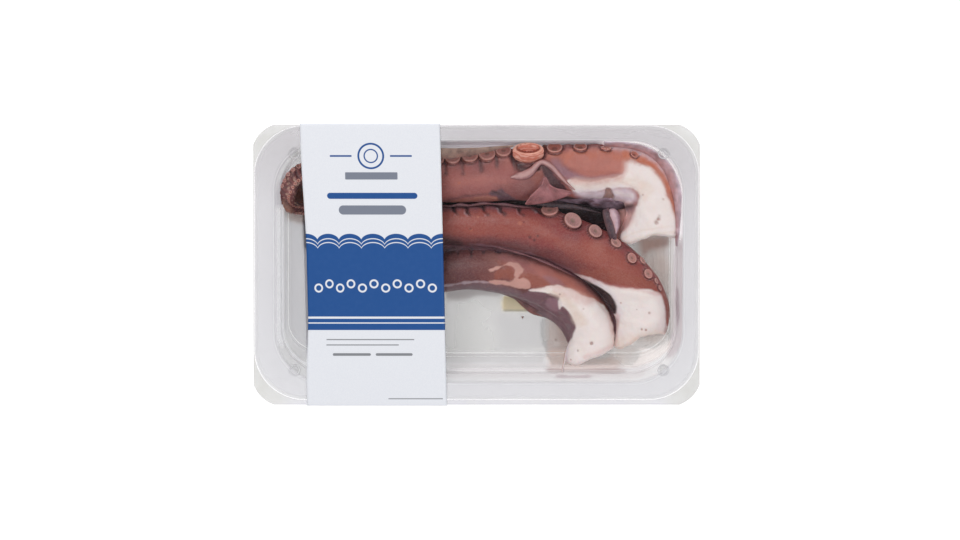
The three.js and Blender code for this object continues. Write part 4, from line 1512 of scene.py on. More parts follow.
class ArmForm:
    """The rings of one arm: middles, directions and half sizes along its length."""

    def __init__(self, stations, fine=0.5, coarse=1.3):
        rows = np.array(stations)
        half_width = rows[:, 2]
        half_height = half_width * (1 + (SQUASH - 1) * np.minimum(1, half_width / 9))
        middles = np.column_stack([rows[:, :2], FLOOR_TOP + rows[:, 3] + half_height])
        places = np.linspace(0, 1, 1500)
        line = spline(middles, places)
        girth = spline(rows[:, 2:3], places, even=True)[:, 0]
        run = np.concatenate([[0], np.cumsum(np.linalg.norm(np.diff(line, axis=0), axis=1))])
        stops = [0.0]
        while stops[-1] < run[-1]:
            x = np.interp(stops[-1], run, line[:, 0])
            stops.append(stops[-1] + (fine if x > HIDDEN[1] or x < HIDDEN[0] else coarse))
        self.s = np.array(stops[:-1])
        self.length = run[-1]
        self.middle = np.stack([np.interp(self.s, run, line[:, k]) for k in range(3)], axis=1)
        self.w = np.interp(self.s, run, girth)
        self.h = self.w * (1 + (SQUASH - 1) * np.minimum(1, self.w / 9))
        ahead = np.gradient(line, run, axis=0)
        self.along = np.stack([np.interp(self.s, run, ahead[:, k]) for k in range(3)], axis=1)
        self.along /= np.linalg.norm(self.along, axis=1, keepdims=True)
        self.side = np.stack([self.along[:, 1], -self.along[:, 0], np.zeros(len(self.s))], axis=1)
        self.side /= np.linalg.norm(self.side, axis=1, keepdims=True)
        self.up = np.cross(self.side, self.along)

    def ring_at(self, s):
        """The number of the ring nearest to a distance along the arm."""
        return int(np.argmin(np.abs(self.s - s)))

    def keep_out(self, points, gap):
        """Moves points out of this arm's skin, to a gap away from it."""
        moved = points.copy()
        for start in range(0, len(points), 4000):
            part = points[start : start + 4000]
            nearest = np.linalg.norm(part[:, None, :] - self.middle[None, ::4, :], axis=2).argmin(1) * 4
            away = part - self.middle[nearest]
            wide, high = self.w[nearest] + gap, self.h[nearest] + gap
            a = (away * self.side[nearest]).sum(1) / wide
            b = (away * self.up[nearest]).sum(1) / high
            reach = np.maximum(np.hypot(a, b), 1e-6)
            level = np.abs((away * self.along[nearest]).sum(1)) < 2.5
            push = np.where((reach < 1) & level, 1 / reach - 1, 0)[:, None]
            out = (a * wide)[:, None] * self.side[nearest] + (b * high)[:, None] * self.up[nearest]
            moved[start : start + 4000] = part + out * push
        return moved


def keep_in_tray(points, gap=0.35):
    """Moves points inwards from the tray's wall, to a gap away from it."""
    depth = np.clip(FLANGE_TOP - points[:, 2], 0, CAVITY_DEPTH)
    long_in, short_in = wall_inset(depth)
    half = np.column_stack([RIM["half"][0] - short_in, RIM["half"][1] - long_in]) - gap
    radius = np.column_stack([RIM["radius"] - short_in, RIM["radius"] - long_in]) - gap
    local = points[:, :2] - RIM["middle"]
    beyond = np.abs(local) - (half - radius)
    corner = (beyond > 0).all(1)
    share = np.linalg.norm(np.maximum(beyond, 0) / radius, axis=1)
    pulled = np.abs(local)
    fix = corner & (share > 1)
    pulled[fix] = (half - radius)[fix] + beyond[fix] / share[fix, None]
    pulled[~corner] = np.minimum(pulled[~corner], half[~corner])
    moved = points.copy()
    moved[:, :2] = np.sign(local) * pulled + RIM["middle"]
    moved[:, 2] = np.clip(moved[:, 2], FLOOR_TOP + FLOOR_ROOM, FLANGE_TOP - FILM_ROOM)
    return moved


def tube_normals(points, rows):
    """Outward normals of a tube of points."""
    grid = points.reshape(rows, AROUND, 3)
    along = np.gradient(grid, axis=0)
    around = np.roll(grid, -1, 1) - np.roll(grid, 1, 1)
    normal = np.cross(around, along)
    normal /= np.maximum(np.linalg.norm(normal, axis=2, keepdims=True), 1e-9)
    if (normal * (grid - grid.mean(axis=1, keepdims=True))).sum() < 0:
        normal = -normal
    return normal.reshape(-1, 3)


class Arm:
    """One arm as a tube of points, ring by ring, with its colour and the seats of its suckers."""

    def __init__(self, name, stations, cut_slant, settings, skin, seed):
        self.name, self.seed, self.settings = name, seed, settings
        self.form = ArmForm(stations)
        turn = 2 * math.pi * np.arange(AROUND) / AROUND
        self.turn = turn + CROWD * np.cos(turn)
        self.lay_rings(cut_slant)
        self.normals = tube_normals(self.points, self.rows)
        self.skin = np.array(skin)
        self.seats = []

    def lay_rings(self, cut_slant):
        """Rings along the arm, after those of a domed cut face."""
        form = self.form
        shares = [(0.0, share) for share in np.linspace(0.05, 0.86, 9)]
        for s in form.s:
            near = min(s / CUT_LIP, 1)
            tip = min((form.length - s) / TIP_LENGTH, 1)
            shares.append((s, (0.87 + 0.13 * math.sqrt(1 - (1 - near) ** 2)) * math.sqrt(max(tip, 0.05))))
        rings = []
        for s, share in shares:
            k = form.ring_at(s)
            slant = cut_slant * max(0.0, 1 - s / CUT_FADE)
            across = form.w[k] * np.cos(self.turn) * share
            height = form.h[k] * np.sin(self.turn) * share
            ring = form.middle[k] + across[:, None] * form.side[k] + height[:, None] * form.up[k]
            ring = ring + (slant * across)[:, None] * form.along[k]
            if s == 0:
                ring = ring - form.along[0] * (CUT_DOME * (1 - share**2))
            rings.append(ring)
        self.rows = len(rings)
        self.points = np.array(rings).reshape(-1, 3)
        self.s = np.repeat([s for s, _ in shares], AROUND)
        self.angle = np.tile(self.turn, self.rows)

    def facing(self):
        """How far each point faces upwards, from 0 to 1."""
        return smooth(self.normals[:, 2], 0.0, 0.35)

    def spread(self, reach):
        """Moves the upper shoulder on the sucker side outwards, as far as reach says along the view."""
        round_angle = (self.angle + math.pi) % (2 * math.pi) - math.pi
        window = smooth(round_angle, 0.0, 0.5) * smooth(round_angle, 1.45, 0.95)
        amount = np.interp(in_view(self.points)[:, 0], *zip(*reach)) * window
        rings = np.searchsorted(self.form.s, self.s).clip(0, len(self.form.s) - 1)
        self.points += amount[:, None] * (self.form.side[rings] + (0, 0, 0.12))
        self.normals = tube_normals(self.points, self.rows)

    def trim(self, steps, left=0.0):
        """Moves the cut end down the view by steps, and its left-hand edge further left."""
        spots = in_view(self.points)
        fade = smooth(self.s, CUT_FADE, 1.0)
        drop = np.interp(spots[:, 0], *zip(*steps)) * VIEW_SCALE / math.cos(CAMERA_LEAN)
        self.points[:, 1] -= drop * fade
        self.points[:, 0] -= left * fade * smooth(spots[:, 0], steps[0][0] + 26, steps[0][0] + 8)
        self.normals = tube_normals(self.points, self.rows)

    def tuck_curl(self, right, down):
        """Moves the curled tip, at the far end of the view, away from the corner of the tray."""
        spots = in_view(self.points)
        near = smooth(spots[:, 0], 330, 306)
        self.points[:, 0] += right * near * smooth(spots[:, 0], 302, 284) * smooth(spots[:, 1], 200, 178)
        self.points[:, 1] -= down * near * smooth(spots[:, 0], 279, 300) * smooth(spots[:, 1], 200, 172)
        self.points[:, 1] += 0.34 * VIEW_SCALE * near * np.clip(spots[:, 1] - 195, 0, 30)
        self.normals = tube_normals(self.points, self.rows)

    def push(self, amount):
        """Moves the skin outwards by an amount for each point."""
        self.points = self.points + self.normals * np.asarray(amount)[:, None]

    def lumps(self):
        """Slow lumps, folds and fine wrinkles of cooked skin."""
        fine = self.points * (1, 1, 1.3)
        self.push(0.4 * noise(self.points, 12, self.seed) + 0.17 * rough(fine, 3.4, self.seed + 3))
        cut = smooth(self.s, 5.0, 0.0)
        self.push(cut * 0.8 * noise(self.points, 5.5, self.seed + 9))

    def sink(self, outline, depth, soft):
        """Lowers the upper skin inside an outline of the view."""
        inside = inside_by(in_view(self.points), rounded(outline))
        self.points[:, 2] -= depth * smooth(inside, -0.3 * soft, soft) * self.facing()

    def crease(self, lines, depth, width):
        """Presses narrow creases into the upper skin, and returns how deep each point lies in them."""
        spots = in_view(self.points)
        field = np.zeros(len(spots))
        for line in lines:
            away, share = off_line(spots, line)
            flared = width * (1.5 - 0.9 * share)
            field = np.maximum(field, np.exp(-((away / flared) ** 2)) * smooth(share, 1.0, 0.45))
        field *= self.facing()
        self.push(-depth * field)
        return field

    def folds_between(self, seats, low, high):
        """Creases across the hidden skin between one sucker and the next."""
        field = np.zeros(len(self.s))
        window = smooth(self.angle, low - 0.15, low + 0.12) * smooth(self.angle, high + 0.22, high - 0.1)
        for (here, _), (after, _) in zip(seats, seats[1:]):
            lean = 1.6 * (self.angle - low)
            field = np.maximum(field, np.exp(-(((self.s - (here + after) / 2 - lean) / 0.85) ** 2)))
        field *= window
        self.push(-0.8 * field)
        return field

    def settle(self, neighbours=()):
        """Keeps the arm inside the tray and out of its neighbours."""
        for other in neighbours:
            self.points = other.form.keep_out(self.points, ARM_ROOM)
        self.points = keep_in_tray(self.points)
        self.normals = tube_normals(self.points, self.rows)
        self.spots = in_view(self.points)

    def start_paint(self):
        """A coat of the skin colour with wide uneven patches."""
        self.colour = np.tile(self.skin, (len(self.points), 1))
        self.flesh = np.zeros(len(self.points))
        self.fine = rough(self.points, 3.2, self.seed + 30, layers=4)
        self.wide = rough(self.points, 14, self.seed + 50)
        self.lay(0.3 * smooth(self.wide, 0.1, 1.0), "violet")
        self.lay(0.22 * smooth(-self.wide, 0.2, 1.2), "salmon")

    def lay(self, mask, name, flesh=None):
        """Paints a tone, or the tone of a setting, as strongly as the mask says."""
        mask = np.clip(mask, 0, 1)
        tone = np.array(getattr(self.settings, name) if isinstance(name, str) else name)
        self.colour += (tone - self.colour) * mask[:, None]
        if flesh is not None:
            self.flesh += (flesh - self.flesh) * mask

    def area(self, outline, name, soft=1.0, ragged=1.0, strength=1.0, flesh=None):
        """Paints inside an outline of the view."""
        inside = inside_by(self.spots, rounded(outline)) + ragged * self.fine
        self.lay(smooth(inside, -soft, soft) * strength, name, flesh)

    def line(self, points, width, name, soft=0.7, strength=1.0, ragged=0.3, flesh=None):
        """Paints along a line of the view."""
        away, _ = off_line(self.spots, points)
        away = away + ragged * self.fine
        self.lay(smooth(away, width / 2 + soft, width / 2 - soft) * strength, name, flesh)

    def dots(self, dots, name, strength=0.9):
        """Paints round dots, each given as (x, y, radius) in the view."""
        for x, y, radius in dots:
            away = np.linalg.norm(self.spots - (x, y), axis=1) + 0.3 * self.fine
            self.lay(smooth(away, radius + 0.5, radius - 0.5) * strength * self.facing(), name)

    def pores(self, pores):
        """Small deep holes in the flesh."""
        spots = in_view(self.points)
        for x, y, radius in pores:
            away = np.linalg.norm(spots - (x, y), axis=1)
            self.push(-0.7 * radius * VIEW_SCALE * np.exp(-((away / radius) ** 2)) * self.facing())

    def nearest(self, x, y):
        """The upper point of the skin that shows at a spot of the view."""
        away = np.linalg.norm(self.spots - (x, y), axis=1) + np.where(self.normals[:, 2] > 0.05, 0, 50)
        return int(away.argmin())

    def sucker(self, x, y, radius, warmth, aspect, lean, fringe=False):
        """A sucker at a spot of the view. Its disc looks as round as aspect and leans towards an angle of
            the view. The skin under it is made flat, a painted shade rings its foot and, with fringe,
            wrinkles round it are painted as dark and pale stripes of painted shade and highlight."""
        k = self.nearest(x, y)
        turn = math.radians(lean)
        aside = math.cos(turn) * np.array((1.0, 0.0, 0.0)) + math.sin(turn) * UP_VIEW
        normal = aspect * TO_VIEW + math.sqrt(1 - aspect**2) * aside
        seat = np.array(under_view((x, y), self.points[k, 2]))
        self.seats.append((seat, normal, radius, warmth))
        away = self.points - seat
        height = away @ normal
        flat = away - height[:, None] * normal
        reach = np.linalg.norm(flat, axis=1) / radius
        level = smooth(reach, 1.7, 1.05) * (np.abs(height) < 2 * radius)
        rise = height + 0.25 * radius
        self.points -= (np.where(rise > 0, rise, 0.6 * rise) * level)[:, None] * normal
        first = np.cross(normal, (1, 0, 0))
        second = np.cross(normal, first)
        angle = np.arctan2(flat @ second, flat @ first)
        # Wrinkles round the sucker, painted as dark and pale stripes: painted shade and highlight
        if fringe:
            near = (np.abs(height) < radius * 1.5) * smooth(away @ -aside, -0.8 * radius, 0.1 * radius)
            wave = np.sin(angle * 24 + 2 * noise(self.points, 3, 7))
            ring = smooth(reach, 1.7, 1.3) * near
            self.lay(0.85 * ring * smooth(wave, -0.4, 0.6), "plum")
            self.lay(0.5 * ring * smooth(wave, -0.2, -0.8), "rose_and_highlight")
        # Painted shade round the foot of the sucker
        strength = 0.75 if fringe else 0.5
        self.lay(strength * smooth(reach, 1.22, 1.04) * (np.abs(height) < 0.8 * radius), "dark_web_and_shade")

    def row(self, seats, angle, warmth=0.0):
        """A row of suckers at one angle round the arm."""
        for s, radius in seats:
            k = int((np.abs(self.s - s) / radius + 6 * np.abs(self.angle - angle)).argmin())
            self.seats.append((self.points[k], self.normals[k], radius, warmth))

    def prepare(self, row_start, hollows, creases, pores, neighbours=()):
        """Shapes the skin before it is painted: lumps, folds, hollows, creases and pores."""
        self.lumps()
        self.upper = row_seats(self.form, row_start, *UPPER_SEATS)
        self.lower = row_seats(self.form, row_start, *LOWER_SEATS)
        self.folds = self.folds_between(self.upper, *BED)
        for outline, depth, soft in hollows:
            self.sink(outline, depth, soft)
        self.creases = self.crease(*creases)
        self.pores(pores)
        self.settle(neighbours)
        self.start_paint()

    def shade_folds(self):
        """Darkens the creases and the folds."""
        self.lay(0.6 * self.creases, "dark_web_and_shade")
        self.lay(0.7 * self.folds, "dark_web_and_shade")

    def finish(self, extras=()):
        """Makes the arm's pieces and hands them to the pack."""
        self.points = keep_in_tray(self.points)
        body = mesh_object(
            self.name + "_body", self.points, tube_faces(self.rows, AROUND), skin_material()
        )
        set_colours(body, "paint", self.colour)
        set_numbers(body, "flesh", self.flesh)
        turn_outwards(body)
        place(body, "octopus", self.name)
        suckers = build_suckers(self.name + "_suckers", self.seats, sucker_look(self.settings))
        place(suckers, "octopus", self.name)
        for extra in extras:
            place(extra, "octopus", self.name)


def skin_material():
    """The skin, which all the arms and webs share."""
    return bpy.data.materials.get("Octopus skin") or octopus_material()


def sucker_look(settings):
    """The material that all the small suckers share."""
    return bpy.data.materials.get("Sucker") or sucker_material(settings.sucker, settings.sucker_warm)


def row_seats(form, first, spacing, share):
    """Distances along an arm at which the suckers of one row sit, with the radius of each."""
    seats = []
    s = first
    while s < form.length:
        radius = share * form.w[form.ring_at(s)]
        if radius < LEAST_SUCKER:
            break
        seats.append((s, radius))
        s += 2 * radius * spacing
    return seats


# A sucker's section, as (radius, height, place along the section), from its skirt to its hole
SKIRT = [
    (1.1, -0.36, 0.0), (1.03, -0.24, 0.12), (0.98, -0.14, 0.24), (0.96, -0.06, 0.32), (0.98, 0.02, 0.4),
]
DEEP_CUP = [
    (1.0, 0.1, 0.46), (0.96, 0.14, 0.5), (0.88, 0.12, 0.58), (0.7, -0.02, 0.68), (0.46, -0.14, 0.78),
    (0.28, -0.19, 0.9),
]
FLAT_CUP = [
    (1.0, 0.1, 0.46), (0.96, 0.15, 0.5), (0.88, 0.14, 0.58), (0.64, 0.1, 0.68), (0.36, 0.06, 0.78),
    (0.17, -0.02, 0.9),
]
# The great sucker's section, as (share of its half size, drop in the view, height, place along the section)
GREAT_SUCKER = {"middle": (528.2, 148.4), "half": (15.6, 6.2), "level": 28.2}
GREAT_CUP = [
    (0.8, 9.4, -6.0, 0.28), (0.92, 8.6, -5.2, 0.32), (1.0, 6.6, -4.0, 0.36), (1.0, 5.2, -3.0, 0.4),
    (0.96, 4.2, -2.3, 0.39), (1.01, 3.0, -1.6, 0.4), (1.0, 1.8, -0.9, 0.42), (0.98, 0.8, -0.3, 0.44),
    (0.93, 0.1, 0.0, 0.48), (0.84, -0.1, -0.1, 0.54), (0.74, 0.1, -0.8, 0.62), (0.58, 0.5, -2.4, 0.72),
    (0.38, 0.9, -3.8, 0.82), (0.16, 1.1, -4.4, 0.95),
]
SMALL_CUP = [(1.2, -0.3, 0.0), (1.0, 0.05, 0.3), (0.98, 0.26, 0.48), (0.74, 0.22, 0.62), (0.34, 0.06, 0.84)]
LARGE_RADIUS = 1.9
# Points round a sucker and round the great sucker, and the pleats of a small cup
CUP_SIDES = 48
SMALL_SIDES = 10
GREAT_SIDES = 72
SMALL_PLEATS = 5
# Suckers as warm as this have deep cups
DEEP_WARMTH = 0.75


def sucker_shape(profile, sides, pleats, hole):
    """A sucker of radius 1 along +Z."""
    points = []
    coordinates = []
    for radius, height, along in profile:
        for k in range(sides):
            angle = 2 * math.pi * k / sides
            fold = 0.06 * math.sin(pleats * angle) * (along < 0.25)
            fold += 0.015 * math.sin(2 * pleats * angle) * (0.55 < along)
            points.append((radius * math.cos(angle), radius * math.sin(angle), height + fold))
            coordinates.append((k / sides, along))
    faces = grid_faces(len(profile), sides)
    points.append((0, 0, hole))
    coordinates.append((0.5, 1.0))
    last = (len(profile) - 1) * sides
    faces += [(last + k, last + (k + 1) % sides, len(points) - 1) for k in range(sides)]
    faces.append(list(range(sides))[::-1])
    made = mesh_object("sucker_shape", np.array(points) / MM, faces)
    set_uv(made, coordinates)
    return made


def sucker_tree():
    """Puts one shape on every point, turned to the point's own direction and sized by its own radius."""
    tree = bpy.data.node_groups.new("Suckers on seats", "GeometryNodeTree")
    face = tree.interface
    face.new_socket("Seats", in_out="INPUT", socket_type="NodeSocketGeometry")
    face.new_socket("Shape", in_out="INPUT", socket_type="NodeSocketObject")
    face.new_socket("Material", in_out="INPUT", socket_type="NodeSocketMaterial")
    face.new_socket("Size", in_out="INPUT", socket_type="NodeSocketFloat").default_value = 1.0
    face.new_socket("Seed", in_out="INPUT", socket_type="NodeSocketInt").default_value = 5
    face.new_socket("Suckers", in_out="OUTPUT", socket_type="NodeSocketGeometry")
    nodes, links = tree.nodes, tree.links
    start, end = nodes.new("NodeGroupInput"), nodes.new("NodeGroupOutput")

    def attribute(name, kind):
        made = nodes.new("GeometryNodeInputNamedAttribute")
        made.data_type = kind
        made.inputs["Name"].default_value = name
        return next(socket for socket in made.outputs if socket.enabled and socket.name == "Attribute")

    shape = nodes.new("GeometryNodeObjectInfo")
    links.new(start.outputs["Shape"], shape.inputs["Object"])
    aim = nodes.new("FunctionNodeAlignRotationToVector")
    aim.axis = "Z"
    links.new(attribute("aim", "FLOAT_VECTOR"), aim.inputs["Vector"])
    spin = nodes.new("FunctionNodeRandomValue")
    spin.data_type = "FLOAT"
    spin.inputs[3].default_value = 2 * math.pi
    links.new(start.outputs["Seed"], spin.inputs["Seed"])
    axis = nodes.new("ShaderNodeCombineXYZ")
    links.new(spin.outputs[1], axis.inputs["Z"])
    about = nodes.new("FunctionNodeEulerToRotation")
    links.new(axis.outputs[0], about.inputs[0])
    turn = nodes.new("FunctionNodeRotateRotation")
    turn.rotation_space = "LOCAL"
    links.new(aim.outputs["Rotation"], turn.inputs["Rotation"])
    links.new(about.outputs[0], turn.inputs["Rotate By"])
    size = nodes.new("ShaderNodeMath")
    size.operation = "MULTIPLY"
    links.new(attribute("radius", "FLOAT"), size.inputs[0])
    links.new(start.outputs["Size"], size.inputs[1])
    put = nodes.new("GeometryNodeInstanceOnPoints")
    links.new(start.outputs["Seats"], put.inputs["Points"])
    links.new(shape.outputs["Geometry"], put.inputs["Instance"])
    links.new(turn.outputs["Rotation"], put.inputs["Rotation"])
    links.new(size.outputs[0], put.inputs["Scale"])
    real = nodes.new("GeometryNodeRealizeInstances")
    links.new(put.outputs["Instances"], real.inputs["Geometry"])
    paint = nodes.new("GeometryNodeSetMaterial")
    links.new(real.outputs["Geometry"], paint.inputs["Geometry"])
    links.new(start.outputs["Material"], paint.inputs["Material"])
    links.new(paint.outputs["Geometry"], end.inputs["Suckers"])
    return tree


def set_input(modifier, tree, name, value):
    """Sets an input of a modifier by its name."""
    for item in tree.interface.items_tree:
        if item.item_type == "SOCKET" and item.in_out == "INPUT" and item.name == name:
            modifier[item.identifier] = value


def build_great_sucker(material):
    """The great sucker, squashed between the arm and the wall, laid out as the camera sees it."""
    sides = GREAT_SIDES
    (x, y), (wide, tall) = GREAT_SUCKER["middle"], GREAT_SUCKER["half"]
    points = []
    coordinates = []
    for reach, down, height, along in GREAT_CUP:
        for k in range(sides):
            turn = 2 * math.pi * k / sides
            pleat = 0.25 * math.sin(3 * turn + 9 * along) * (along < 0.46)
            spot = (x + wide * reach * math.cos(turn), y + tall * reach * math.sin(turn) + down + pleat)
            level = GREAT_SUCKER["level"] + height - 1.2 * reach * math.sin(turn)
            level += 0.2 * math.sin(13 * turn) * (along > 0.6)
            points.append(under_view(spot, level))
            coordinates.append((k / sides, along))
    made = mesh_object("great_sucker", points, tube_faces(len(GREAT_CUP), sides), material)
    set_uv(made, coordinates)
    turn_outwards(made)
    return made


def build_suckers(name, rows, material):
    """All suckers of one arm as one plain mesh: deep warm cups, pale flat ones, and small plain ones."""
    large = [r for r in rows if LARGE_RADIUS <= r[2]]
    deep = [r for r in large if r[3] >= DEEP_WARMTH]
    flat = [r for r in large if r[3] < DEEP_WARMTH]
    small = [r for r in rows if r[2] < LARGE_RADIUS]
    kinds = [
        ("deep", deep, (SKIRT + DEEP_CUP, CUP_SIDES, SUCKER_PLEATS, -0.22)),
        ("flat", flat, (SKIRT + FLAT_CUP, CUP_SIDES, SUCKER_PLEATS, -0.05)),
        ("small", small, (SMALL_CUP, SMALL_SIDES, SMALL_PLEATS, 0.0)),
    ]
    made = []
    for label, chosen, section in kinds:
        if not chosen:
            continue
        shape = sucker_shape(*section)
        seats = mesh_object(f"{name}_{label}", np.array([r[0] for r in chosen]), [])
        set_numbers(seats, "radius", [r[2] * MM for r in chosen])
        set_numbers(seats, "warmth", [r[3] for r in chosen])
        aim = seats.data.attributes.new("aim", "FLOAT_VECTOR", "POINT")
        aim.data.foreach_set("vector", np.array([r[1] for r in chosen], np.float32).ravel())
        tree = sucker_tree()
        modifier = seats.modifiers.new("Suckers", "NODES")
        modifier.node_group = tree
        set_input(modifier, tree, "Shape", shape)
        set_input(modifier, tree, "Material", material)
        bake_modifiers(seats)
        bpy.data.objects.remove(shape)
        made.append(seats)
    joined = join(name, made)
    points = np.empty(3 * len(joined.data.vertices))
    joined.data.vertices.foreach_get("co", points)
    pressed = keep_in_tray(points.reshape(-1, 3) / MM, 0.3) * MM
    joined.data.vertices.foreach_set("co", pressed.ravel())
    return joined


def ribbon(name, arm, line, widths, height, tones, lift=0.0, drape=None, blunt=0.35, sides=14):
    """A soft ridge of skin that lies on an arm along a line of the view. Its tones run from the right-hand
    side of the line over the top to the left-hand side."""
    count = 64
    path = curve_points(line, count)
    stops = np.linspace(0, 1, count)
    width = np.interp(stops, np.linspace(0, 1, len(widths)), widths)
    if drape is None:
        heights = np.array([arm.points[arm.nearest(x, y), 2] for x, y in path])
        heights = np.max([np.roll(heights, step)[3:-3] for step in range(-3, 4)], axis=0)
        heights = np.pad(heights, 3, mode="edge")
    else:
        heights = np.interp(stops, np.linspace(0, 1, len(drape)), drape)
    base = np.array([under_view(spot, z) for spot, z in zip(path, heights)])
    for _ in range(4):
        base[1:-1] = (base[:-2] + 2 * base[1:-1] + base[2:]) / 4
    along = np.gradient(base, axis=0)
    along /= np.linalg.norm(along, axis=1, keepdims=True)
    side = np.cross(along, TO_VIEW)
    side /= np.linalg.norm(side, axis=1, keepdims=True)
    taper = np.clip(np.sin(math.pi * np.clip(stops, 0.004, 0.996)), 0, 1) ** blunt
    turn = 2 * math.pi * np.arange(sides) / sides
    out = np.cos(turn)[None, :, None] * (side * (width * taper / 2)[:, None])[:, None, :]
    rise = (np.sin(turn) * height)[None, :] * taper[:, None] + lift
    points = (base[:, None, :] + out + rise[..., None] * TO_VIEW).reshape(-1, 3)
    points += 0.16 * rough(points, 1.8, seed=8)[:, None] * TO_VIEW
    made = mesh_object(name, points, tube_faces(count, sides), skin_material())
    across = np.tile(np.cos(turn), count) + 0.25 * rough(points, 2.2, seed=9)
    tones = np.array(tones)
    right = smooth(across, 0.1, 0.8)[:, None]
    left = smooth(across, -0.1, -0.8)[:, None]
    set_colours(made, "paint", tones[1] * (1 - right - left) + tones[0] * right + tones[2] * left)
    set_numbers(made, "flesh", np.zeros(len(points)))
    turn_outwards(made)
    return made


WEB_THICKNESS = 0.5
# How many dots of each tone speckle the curl
CURL_DOTS = 46


def membrane(name, first, second, first_heights, second_heights, tones, sag=0.0, steps=(90, 14), bias=1.0,
        dark=False):
    """A web of skin between two lines of the view, each with its own heights and its own tone."""
    stops = np.linspace(0, 1, steps[0])
    sides = []
    for line, heights in ((first, first_heights), (second, second_heights)):
        z = np.interp(stops, np.linspace(0, 1, len(heights)), heights)
        sides.append(np.array([under_view(spot, h) for spot, h in zip(curve_points(line, steps[0]), z)]))
    share = np.linspace(0, 1, steps[1])[None, :, None]
    grid = sides[0][:, None, :] * (1 - share) + sides[1][:, None, :] * share
    grid[..., 2] -= sag * np.sin(math.pi * share[..., 0])
    points = grid.reshape(-1, 3)
    points[:, 2] += 0.3 * rough(points, 5, seed=12)
    points = keep_in_tray(points, 0.3)
    material = dark_web_and_shade_material() if dark else skin_material()
    made = mesh_object(name, points, grid_faces(*steps, closed=False), material)
    mixed = np.tile(share[0, :, 0] ** bias, steps[0]) + 0.3 * rough(points, 4, seed=13)
    mixed = np.clip(mixed, 0, 1)[:, None]
    colours = np.array(tones[0]) * (1 - mixed) + np.array(tones[1]) * mixed
    set_colours(made, "paint", np.clip(colours * (1 + 0.35 * rough(points, 2.6, seed=14)[:, None]), 0, 1))
    set_numbers(made, "flesh", np.zeros(len(points)))
    turn_sheet(made)
    return thicken(made, WEB_THICKNESS * MM)


